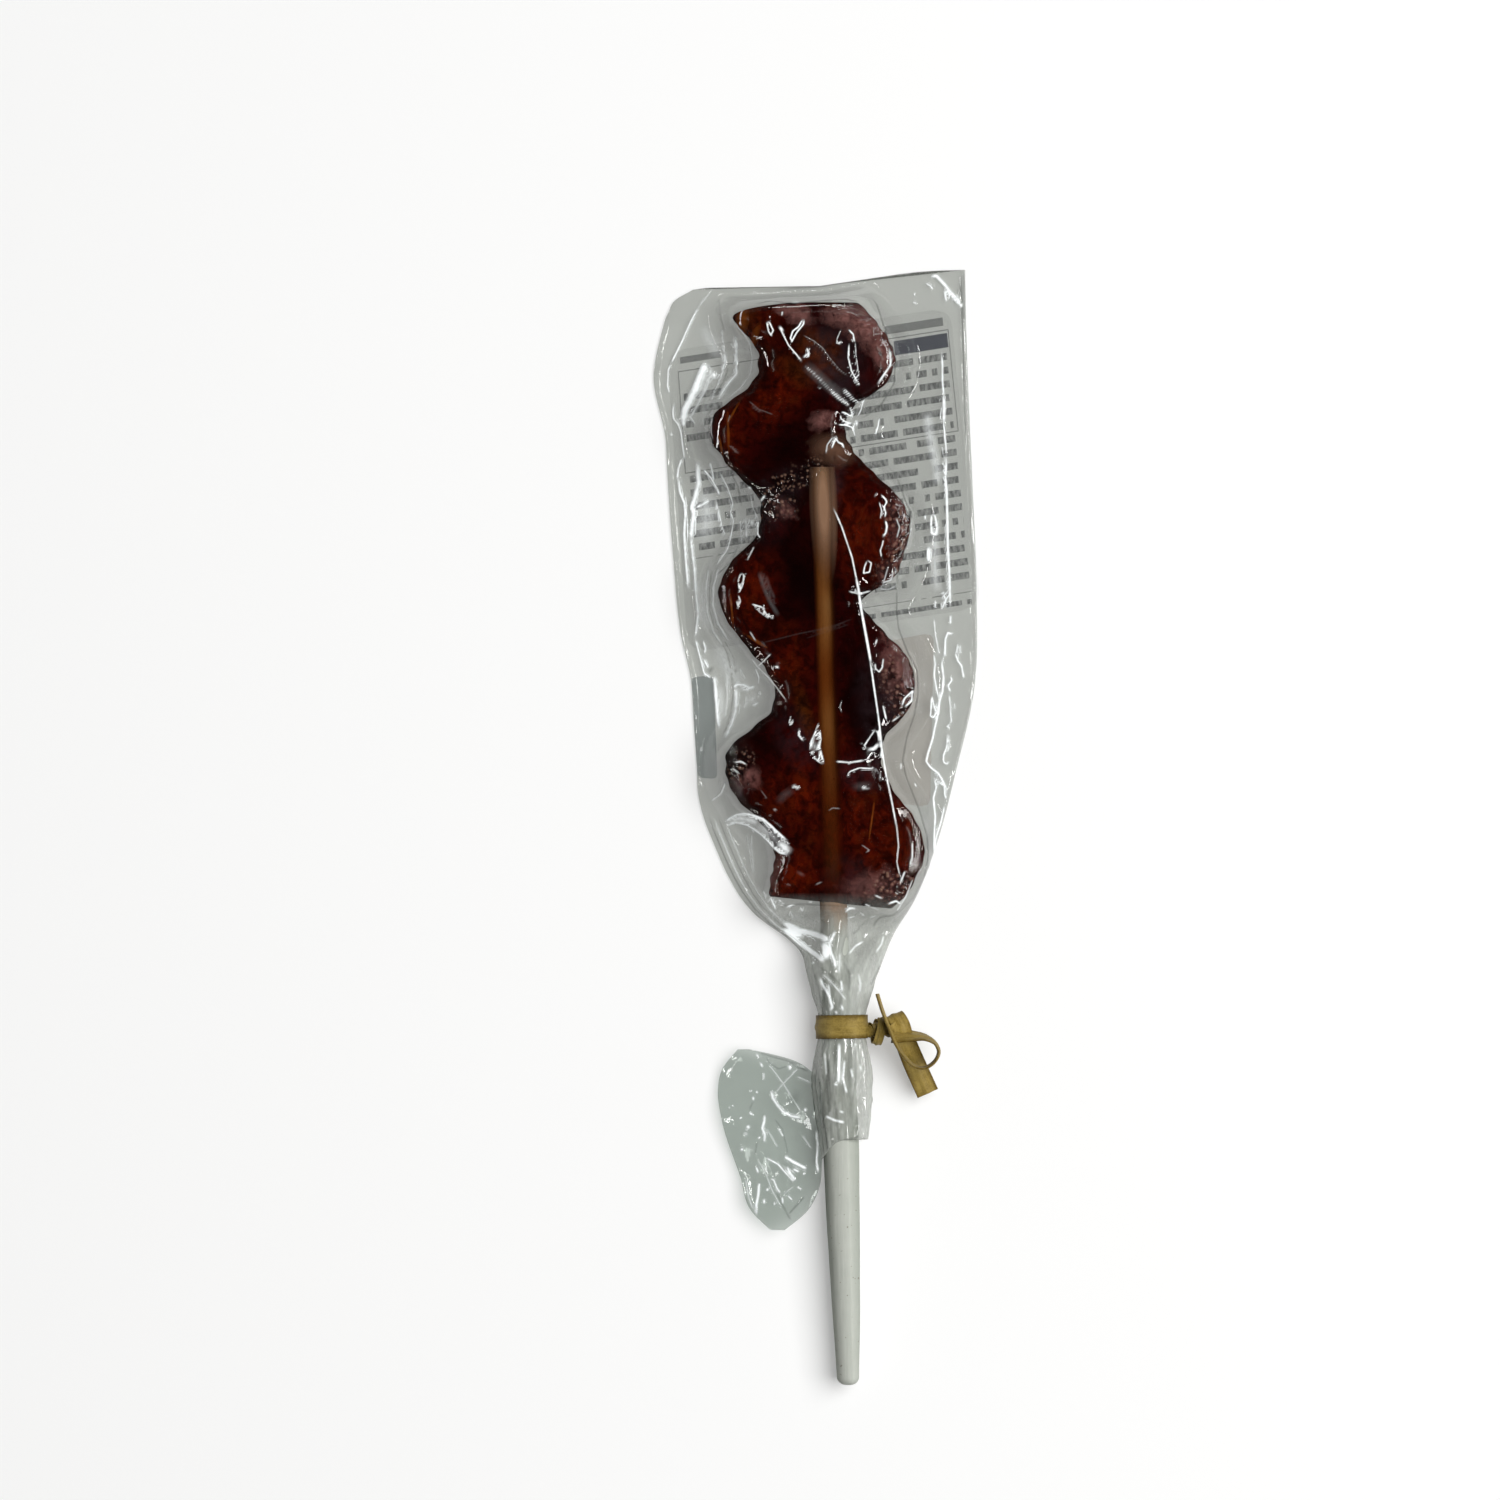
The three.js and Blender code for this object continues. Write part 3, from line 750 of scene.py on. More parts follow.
    def material(self) -> Material:
        """Makes the material."""
        bench = Bench("boiled_sugar")
        places = bench.places()
        across, along, _ = bench.parts(places)
        cloudy = bench.noise(places, 0.13, 1.5, 0.45, 0.4)
        broken = bench.noise(places, 0.5, 2.5, 0.55, 0.3)
        flow = bench.noise(bench.stretched(places, (0.3, 0.12, 0.3), -20.0), 1.0, 1.5, 0.4, 0.8)
        grainy = bench.noise(places, 1.6, 4.0, 0.7)
        cells = bench.cells(places, 1.0)
        ragged = (cloudy - 0.5) * 1.6 + (broken - 0.5) * 0.5
        crisp = (broken - 0.5) * 2.4
        amber = self.patch(bench, "amber_near", 0.95, ragged)
        glow = self.streaks(bench, places, (broken - 0.5) * 1.5)
        olive = self.patch(bench, "olive_near", 0.9, ragged)
        dark = self.patch(bench, "dark_near", 0.9, ragged)
        pink = self.patch(bench, "pink_near", 0.5, crisp)
        veil = self.patch(bench, "painted_sheen_near", 0.9, ragged)
        crumbs = self.patch(bench, "crumbs_near", 0.6, crisp)
        drop = bench.spot(places, self.drop_spot, 0.5, crisp * 0.4)
        tip_haze = bench.spot(places, self.tip_haze, 0.6) * (along < self.tip_y)
        veins = bench.noise(bench.stretched(places, (0.6, 0.4, 0.6), -24.0), 1.0, 3.0, 0.55, 0.9)
        mottle = bench.noise(places, 0.75, 4.0, 0.62, 0.5)
        lumps = bench.lumps(places, 1.25)
        cracks = crumbs * lumps.step(0.3, 0.6)
        flecks = crumbs * (1.0 - lumps.step(0.12, 0.46)) * cells.step(0.1, 0.7)
        mottled = broken.step(0.34, 0.66) * 0.5 + mottle.step(0.4, 0.6) * 0.3
        tones = (
            (cloudy.step(0.34, 0.62), self.body),
            (dark * 0.85, self.dark),
            (amber * (0.45 + flow.step(0.35, 0.65) * 0.55), self.amber),
            # painted glow in the amber veins
            (amber * veins.step(0.5, 0.72) * 0.08, self.glow),
            (olive * 0.6, self.olive),
            ((1.0 - veins.step(0.36, 0.52)) * 0.55, self.dark),
            ((1.0 - mottle.step(0.38, 0.56)) * 0.6, self.dark),
            # painted reflection: the purple-grey sheen
            (veil * broken.step(0.3, 0.7) * 0.4, self.veil),
            # painted glow along the thin streaks
            (glow * 0.55, self.glow),
            (pink * (0.12 + mottled), self.pink),
            (flecks * 0.85, self.fleck),
            (cracks * 0.75, self.dark),
            (drop * (0.35 + broken.step(0.3, 0.65) * 0.5), self.drop),
            (tip_haze * 0.8, self.pale),
        )
        colour = self.dark
        for share, tone in tones:
            colour = bench.mix(share, colour, tone)
        middle, slope, reach = self.stick_line
        sunk = 1.0 - along.step(-2.0, 14.0)
        aside = abs(across - (middle + slope * along)) * (1.0 - sunk * 0.32)
        over_stick = (1.0 - aside.step(reach - 0.7, reach + 0.4)) * (along < self.tip_y)
        over_stick = over_stick * (0.22 + along.step(-10.0, 16.0) * 0.78)
        solid = ((1.0 - over_stick) * 0.9).most(pink * 0.6).most(tip_haze * 0.7).held()
        relief = (grainy * 0.5 - lumps * 1.3) * crumbs + cells * pink * 0.2 + cloudy * 0.06
        normal = bench.bump(relief, 0.5)
        matt = bench.matt(colour, self.matt_roughness, more={"Normal": normal})
        shine, _ = bench.shine(normal, self.head_on_shine, self.edge_on_shine)
        most = max(self.absorption)
        passed = tuple(1.0 - part / most for part in self.absorption)
        inside = bench.node("VolumeAbsorption", inputs={"Color": (*passed, 1.0), "Density": most / MM})
        sugar = bench.layer(solid, bench.clear(WHITE), matt)
        gloss = bench.gloss(self.mirror, self.roughness, normal)
        return bench.finished(bench.layer(shine, sugar, gloss), inside)


@dataclass(frozen=True)
class PaperFinish:
    """Rolled white paper with faint fibres along the stick, and painted shade towards its sides."""

    pale: Colour = srgb(193, 195, 187)
    dull: Colour = srgb(168, 172, 163)
    shaded: Colour = srgb(142, 148, 138)
    syrup: Colour = srgb(176, 118, 70)
    speck: Colour = srgb(96, 80, 60)
    line: Pair = (2.38, -0.0311)
    roughness: float = 0.85
    specular: float = 0.06

    def material(self) -> Material:
        """Makes the material."""
        bench = Bench("rolled_paper")
        places = bench.places()
        fibres = bench.noise(bench.stretched(places, (2.0, 0.12, 2.0)), 1.0, 4.0, 0.6)
        stains = bench.noise(places, 0.3, 3.0, 0.6)
        colour = bench.mix((fibres * 0.6 + stains * 0.5 - 0.1).held(), self.dull, self.pale)
        across, along, _ = bench.parts(places)
        aside = across - (self.line[0] + self.line[1] * along)
        # painted shade: darker towards both sides of the stick
        colour = bench.mix(abs(aside + 0.2).step(1.1, 2.6) * 0.6, colour, self.shaded)
        soaked = along.step(-19.0, -13.0) * (1.0 - along.step(-12.0, -8.0))
        colour = bench.mix(soaked * 0.7, colour, self.syrup)
        specks = bench.noise(places, 1.5, 1.0).step(0.73, 0.76)
        colour = bench.mix(specks * 0.5, colour, self.speck)
        fuzz = {"Normal": bench.bump(fibres + stains * 0.5, 0.08)}
        return bench.finished(bench.matt(colour, self.roughness, self.specular, fuzz))


@dataclass(frozen=True)
class KraftFinish:
    """Tan kraft paper over a wire, with lengthwise ribs and painted shade that darkens its edges."""

    pale: Colour = srgb(168, 145, 76)
    dark: Colour = srgb(92, 72, 18)
    roughness: float = 0.55
    specular: float = 0.35

    def material(self) -> Material:
        """Makes the material."""
        bench = Bench("kraft_ribbon")
        flat = bench.places("UV")
        ribs = bench.noise(bench.stretched(flat, (0.12, 3.2, 1.0)), 1.0, 3.0, 0.6)
        stains = bench.noise(bench.stretched(flat, (0.35, 0.6, 1.0)), 1.0, 4.0, 0.65)
        grain = bench.noise(flat, 3.4, 3.0, 0.7)
        # painted shade: darker towards both edges of the ribbon
        edges = abs(bench.parts(flat)[1]).step(1.1, 1.95)
        share = ribs * 0.5 + stains * 1.3 + grain * 0.8 - 0.75 - edges * 0.65
        colour = bench.mix(share.held(), self.dark, self.pale)
        ridges = {"Normal": bench.bump(ribs * 0.7 + stains * 0.4 + grain * 0.3, 0.14)}
        return bench.finished(bench.matt(colour, self.roughness, self.specular, ridges))


@dataclass(frozen=True)
class LabelFinish:
    """Clear label with plain grey bars in rows, a frame of thin rules and a few heavier bars."""

    name: str
    tint: Colour = srgb(247, 247, 247)
    ink: Colour = srgb(70, 72, 80)
    navy: Colour = srgb(44, 50, 82)
    row_pitch: float = 2.3
    bar_share: float = 0.5
    cell: float = 0.92
    frame_box: Box = (1.65, 29.8, 49.3, 47.0)
    rule: float = 0.16
    dark_bar: Box = (39.6, 44.0, 49.0, 46.4)
    heading_bars: tuple[Box, ...] = (
        (38.3, 47.7, 48.5, 49.1), (2.2, 48.2, 9.3, 49.3),
    )
    text_box: Box = (2.4, 0.9, 48.6, 43.6)
    blank_rows: Pair = (3.0, 4.8)
    left_columns: float = 22.0
    left_text: Box = (2.4, 15.4, 22.0, 29.4)
    left_figures: Box = (2.4, 34.0, 9.0, 44.0)
    roughness: float = 0.6
    specular: float = 0.2
    printed: bool = True

    def within(self, x: Value, y: Value, box: Box) -> Value:
        """1 inside a box given by its lowest and highest x and y."""
        return (x > box[0]) * (x < box[2]) * (y > box[1]) * (y < box[3])

    def bars(self, bench: Bench, x: Value, y: Value) -> Value:
        """Rows of grey bars of uneven length.

        Args:
            bench: Where the nodes go.
            x: Place along the rows in millimetres.
            y: Place across them.

        Returns:
            The ink's share.
        """
        row_at = y / self.row_pitch
        row = row_at.math("FLOOR", row_at)
        cell_at = x / self.cell + row * 0.37
        cell = cell_at.math("FLOOR", cell_at)
        key = bench.value("CombineXYZ", inputs={0: cell, 1: row})
        chance = bench.value("TexWhiteNoise", {"noise_dimensions": "2D"}, {"Vector": key})
        grain = bench.noise(bench.value("CombineXYZ", inputs={0: x, 1: y * 0.35}), 1.9, 1.0)
        held = (abs(row_at - row - 0.5) < self.bar_share / 2) * (chance > 0.18)
        held = held * (1.0 - (y > self.blank_rows[0]) * (y < self.blank_rows[1]))
        shown = x > self.left_columns
        for box in (self.left_text, self.left_figures):
            shown = shown.most(self.within(x, y, box))
        return held * shown * self.within(x, y, self.text_box) * (0.26 + grain.step(0.35, 0.65) * 0.36)

    def material(self) -> Material:
        """Makes the material."""
        bench = Bench(self.name)
        surface = bench.clear(self.tint)
        if not self.printed:
            return bench.finished(surface)
        x, y, _ = bench.parts(bench.places("UV"))
        outer = self.frame_box
        inner = (outer[0] + self.rule, outer[1] + self.rule, outer[2] - self.rule, outer[3] - self.rule)
        rules = self.within(x, y, outer) * (1.0 - self.within(x, y, inner))
        marks = self.bars(bench, x, y).most(rules * 0.45)
        for box in self.heading_bars:
            marks = marks.most(self.within(x, y, box) * 0.45)
        dark_bar = self.within(x, y, self.dark_bar)
        for share, colour in ((marks * (1.0 - dark_bar), self.ink), (dark_bar * 0.7, self.navy)):
            surface = bench.layer(share, surface, bench.matt(colour, self.roughness, self.specular))
        return bench.finished(surface)


@dataclass
class Stick:
    """Rolled paper stick that leans across the part and drops towards its outer end."""

    length: float = 152.4
    radius: float = 2.38
    end_y: float = -92.85
    end_round: float = 1.3
    tip_x: float = 0.5
    tip_z: float = 6.4
    lean: float = math.radians(1.78)
    drop: float = math.radians(0.9)
    swells: Stops = (
        (-92.9, -0.56), (-85.0, -0.24), (-74.0, 0.14), (-62.0, 0.46), (-54.0, 0.6), (-44.0, 0.5),
        (-30.0, 0.1), (-14.0, -0.1), (10.0, -0.3), (60.0, -0.6),
    )
    seam_turn: float = math.radians(118.0)
    seam_step: float = 0.22
    seam_drift: float = 0.12
    seam_wave: float = 40.0
    tip_flush: float = 0.4
    tip_bevel: Stops = ((0.15, 0.06), (0.0, 0.3))
    end_hole: float = 0.001
    dent: float = 0.02
    dent_length: float = 14.0
    around: int = 128
    along: int = 180

    def run(self) -> Array:
        """Unit vector from the outer end to the tip."""
        level = math.cos(self.drop)
        return np.array((-math.sin(self.lean) * level, math.cos(self.lean) * level, math.sin(self.drop)))

    def axis(self, y: Array) -> Array:
        """Points on the axis at each y."""
        run = self.run()
        end = np.array((self.tip_x, self.end_y, self.tip_z)) - run * self.length * np.array((1.0, 0.0, 1.0))
        return end + ((np.asarray(y, float) - self.end_y) / run[1])[..., None] * run

    def build(self, finish: Material) -> None:
        """Makes the stick: a round section whose radius steps at the paper's seam, rounded at the outer end.

        Args:
            finish: The paper.
        """
        low, high = self.end_y, self.end_y + self.length * self.run()[1]
        arc = np.linspace(0.0, math.pi / 2, 10)[:-1]
        back, bevel = np.asarray(self.tip_bevel).T
        middle = np.linspace(low + self.end_round, high - self.tip_flush, self.along)
        y = np.concatenate((low + self.end_round * (1.0 - np.cos(arc)), middle, high - back))
        shrink = np.concatenate((self.end_round * (1.0 - np.sin(arc)) + self.end_hole, 0.0 * middle, bevel))
        turn = np.linspace(0.0, TURN, self.around, endpoint=False)
        drift = self.seam_turn + self.seam_drift * np.sin(y / self.seam_wave)
        past = np.mod(turn[None, :] - drift[:, None], TURN) / TURN
        swell = curve_through(self.swells, y)
        radius = self.radius + (swell - shrink)[:, None] + self.seam_step * (past - 0.5)
        girth, length = np.meshgrid(turn * 3.0, y)
        radius = radius + self.dent * ripple(girth, length, self.dent_length, Seed.PAPER)
        axis = self.axis(y)
        grid = np.stack((
            axis[:, None, 0] - radius * np.cos(turn),
            np.broadcast_to(y[:, None], radius.shape),
            axis[:, None, 2] + radius * np.sin(turn),
        ), axis=-1)
        mount(Skin.tube(grid).outward().build("paper_stick"), finish, "stick")


@dataclass
class Candy:
    """Wavy strip of boiled sugar, a flattened oval in section."""

    thickness: float = 9.0
    base: float = 0.8
    low_end: float = -13.7
    high_end: float = 86.8
    end_round: float = 3.2
    end_pull: float = 0.8
    end_flat: float = 0.3
    squareness: float = 2.8
    left_edge: Stops = (
        (-13.0, -8.3), (-4.4, -7.2), (-0.6, -8.6), (5.6, -14.0), (9.2, -15.3), (13.0, -14.4), (19.0, -7.8),
        (22.4, -7.0), (30.6, -12.4), (35.6, -15.8), (39.4, -16.3), (43.7, -14.3), (48.0, -10.3),
        (51.6, -9.3), (55.7, -10.7), (57.7, -12.8), (60.6, -15.3), (63.5, -17.4), (66.2, -17.7),
        (68.9, -16.5), (70.5, -14.4), (72.3, -11.9), (74.4, -10.4), (76.7, -9.6), (78.7, -9.9),
        (81.0, -11.4), (82.9, -13.2), (84.6, -13.9), (85.4, -12.8), (86.1, -10.2), (86.7, -6.0),
    )
    right_edge: Stops = (
        (-13.0, 13.4), (-8.6, 16.3), (-4.4, 17.8), (-0.4, 17.0), (7.0, 12.0), (12.0, 10.6), (14.6, 11.0),
        (18.6, 14.8), (23.6, 16.2), (28.0, 14.9), (34.2, 9.2), (37.2, 7.3), (41.2, 12.6), (45.6, 14.6),
        (49.8, 15.4), (53.6, 14.1), (62.0, 6.2), (65.4, 4.6), (69.2, 5.8), (73.6, 11.6), (77.4, 12.8),
        (80.4, 12.0), (86.6, 7.4),
    )
    lump: float = 0.24
    drop: tuple[float, float, float, float] = (3.0, 61.7, 2.0, 0.7)
    wobble: float = 0.1
    wobble_lengths: Pair = (3.0, 2.4)
    low_slant: float = -0.1
    slant_from: float = 12.0
    rough_spots: Stops = (
        (14.6, 47.0, 7.0, 2.0, -85.0), (14.6, 21.5, 5.5, 2.0, -80.0), (-4.6, 57.0, 5.0, 1.6, 32.0),
        (-13.0, 8.0, 4.5, 2.0, 75.0), (15.5, -9.5, 4.0, 1.8, 30.0), (7.5, 84.0, 5.0, 2.0, -40.0),
    )
    rough_height: float = 0.21
    crumb_length: float = 1.7
    grain_length: float = 0.9
    grain_share: float = 0.7
    rim_crinkle: float = 0.4
    rim_inset: float = 0.4
    rim_width: float = 1.4
    calm_from: float = 58.0
    calm_to: float = 64.0
    calm: float = 0.85
    fade: float = 2.0
    around: int = 210
    along: int = 300

    @property
    def middle(self) -> float:
        """Height of the middle of the section."""
        return self.base + self.thickness / 2

    def profile(self, y: Array) -> tuple[Array, Array, Array]:
        """Left edge, right edge and half height: two waves, pulled in and flattened at the rounded ends.

        Args:
            y: Places along the candy.

        Returns:
            The three sizes at each place.
        """
        inset = np.minimum(y - self.low_end, self.high_end - y)
        fullness = np.sqrt(1.0 - (1.0 - np.clip(inset / self.end_round, 0.0, 1.0)) ** 2)
        pull = self.end_pull * (1.0 - fullness)
        near, far = self.wobble_lengths
        near = self.wobble * ripple(y, 0.0 * y, near, Seed.LEFT_RIM)
        far = self.wobble * ripple(y, 0.0 * y, far, Seed.RIGHT_RIM)
        left = curve_through(self.left_edge, y) + pull + near
        right = curve_through(self.right_edge, y) - pull + far
        return left, right, self.thickness / 2 * blend(self.end_flat, 1.0, fullness)

    def rough(self, x: Array, y: Array) -> Array:
        """How crumbly the candy is: the sum of soft spots."""
        return sum(inside_oval(x, y, spot) for spot in self.rough_spots)

    def lumps(self, x: Array, y: Array) -> Array:
        """Low waves of the poured face, the drop over the tip of the stick and the crumbly rims."""
        waves = np.sin(0.42 * x + 0.6) * np.sin(0.29 * y + 0.4) + 0.6 * np.sin(0.33 * x - 0.47 * y)
        drop_x, drop_y, reach, height = self.drop
        drop = height * bell(np.hypot(x - drop_x, y - drop_y), reach)
        rough = self.rough(x, y)
        grain = ripple(x, y, self.crumb_length, Seed.CRUMBS)
        grain = grain + self.grain_share * ripple(x, y, self.grain_length, Seed.GRAINS)
        return self.lump * waves + drop + self.rough_height * np.minimum(rough, 1.0) * grain

    def crinkle(self, x: Array, y: Array) -> Array:
        """How crinkled the film lies: most along the candy's edges and over its crumbly places.

        Args:
            x: Places along X.
            y: Places along Y.

        Returns:
            The share at each place.
        """
        left, right, _ = self.profile(np.clip(y, self.low_end, self.high_end))
        along = ease(y, self.low_end - self.fade, self.low_end)
        along = along * (1.0 - ease(y, self.high_end, self.high_end + self.fade))
        left_rim = bell(x - left - self.rim_inset, self.rim_width)
        right_rim = bell(x - right + self.rim_inset, self.rim_width)
        rims = left_rim * (1.0 - self.calm * ease(y, self.calm_from, self.calm_to)) + right_rim
        return np.clip(self.rim_crinkle * rims * along + self.rough(x, y), 0.0, 1.0)

    def top(self, x: Array, y: Array) -> Array:
        """Height of the upper face, and the surface it lies on beside it.

        Args:
            x: Places along X.
            y: Places along Y.

        Returns:
            The heights.
        """
        left, right, half = self.profile(y)
        across = np.clip(np.abs(x - (left + right) / 2) / ((right - left) / 2), 0.0, 1.0) ** self.squareness
        crown = self.middle + half * (1.0 - across) ** (1.0 / self.squareness)
        inside = (y > self.low_end) & (y < self.high_end) & (across < 1.0)
        return np.where(inside, crown + self.lumps(x, y) * (1.0 - across), 0.0)

    def build(self, finish: CandyFinish) -> None:
        """Makes the strip: squared ovals x = m - w c(t), z = h s(t), with c and s drawn out by a power.

        Args:
            finish: The sugar.
        """
        arc = np.linspace(0.0, math.pi / 2, 12)
        ease_in = self.end_round * (1.0 - np.cos(arc[:-1]))
        y = np.concatenate((
            self.low_end + ease_in,
            np.linspace(self.low_end + self.end_round, self.high_end - self.end_round, self.along),
            self.high_end - ease_in[::-1],
        ))
        left, right, half = (size[:, None] for size in self.profile(y))
        turn = np.linspace(0.0, TURN, self.around, endpoint=False)
        power = 2.0 / self.squareness
        cosine = np.sign(np.cos(turn)) * np.abs(np.cos(turn)) ** power
        sine = np.sign(np.sin(turn)) * np.abs(np.sin(turn)) ** power
        x = (left + right) / 2 - (right - left) / 2 * cosine
        rows = np.broadcast_to(y[:, None], x.shape)
        lift = np.maximum(np.sin(turn), 0.0) * self.lumps(x, rows) * half * 2.0 / self.thickness
        rows = rows + self.low_slant * (x - self.slant_from) * (1.0 - ease(rows, self.low_end, 0.0))
        grid = np.stack((x, rows, self.middle + half * sine + lift), axis=-1)
        skin = Skin.tube(grid)
        skin.marks.update(finish.marks(skin.points[:, 0], skin.points[:, 1]))
        mount(skin.outward().build("candy_strip"), finish.material(), "candy")


@dataclass(frozen=True)
class FoldLine:
    """A crease in the film along a broken line.

    Attributes:
        points: Corners of the line as x and y.
        white: How bright the painted highlight along it shows; below 0, how dark its painted shade line
            shows.
        width: Reach of its flanks.
        swell: Height of the wider rise that it sits on.
        swell_width: Reach of that rise.
    """

    points: Stops
    white: float
    width: float
    swell: float = 0.0
    swell_width: float = 1.8
    least_fade: ClassVar[float] = 0.12
    most_fade: ClassVar[float] = 0.5

    def across(self, x: Array, y: Array) -> tuple[Array, Array, Array]:
        """Cross section of the crease, which runs out towards both its ends.

        Args:
            x: Places along X.
            y: Places along Y.

        Returns:
            The distance as a share of the width, the strength of its painted highlight there (below 0 that of
            a painted shade line), and the wider rise as a bell.
        """
        aside, run_to = off_line(x, y, self.points)
        length = np.hypot(*np.diff(np.asarray(self.points, float), axis=0).T).sum()
        fade = min(self.most_fade, max(self.least_fade, 2.0 * self.width / length))
        taper = ease(np.minimum(run_to, 1.0 - run_to), 0.0, fade)
        return aside / self.width, self.white * taper, self.swell * taper * bell(aside, self.swell_width)


def drawn(*rows: tuple[float, ...], swell: float = 0.0, swell_width: float = 1.8) -> tuple[FoldLine, ...]:
    """Creases from rows of the whiteness of their painted highlight (below 0 the darkness of a painted shade
    line), width and then x and y of each corner, on a rise of one height.
    """
    return tuple(FoldLine(tuple(zip(row[2::2], row[3::2])), *row[:2], swell, swell_width) for row in rows)


def creased(lines: Sequence[FoldLine], x: Array, y: Array) -> tuple[dict[str, Array], Array]:
    """Creases of a sheet: for each place the one that shows most, and the sum of their wider rises.

    Args:
        lines: The creases.
        x: Places along X.
        y: Places along Y.

    Returns:
        The marks from which the film's finish paints highlights and shade lines along the creases, and the
        rise.
    """
    far, reach, faintest = 9.0, 1.4, 0.05
    aside, crest, rise = np.full(x.shape, far), np.zeros(x.shape), np.zeros(x.shape)
    best = np.full(x.shape, -far)
    for line in lines:
        share, white, swell = line.across(x, y)
        inside = 1.0 - np.abs(share)
        shown = np.where(inside > 0.0, inside * (faintest + np.abs(white)), inside)
        aside, crest = np.where(shown > best, share, aside), np.where(shown > best, white, crest)
        best = np.maximum(best, shown)
        rise = rise + swell
    marks = {"fold_aside": np.clip(aside, -far, far)}
    marks["fold_crest"] = np.where(np.abs(aside) < reach, crest, 0.0)
    return marks, rise
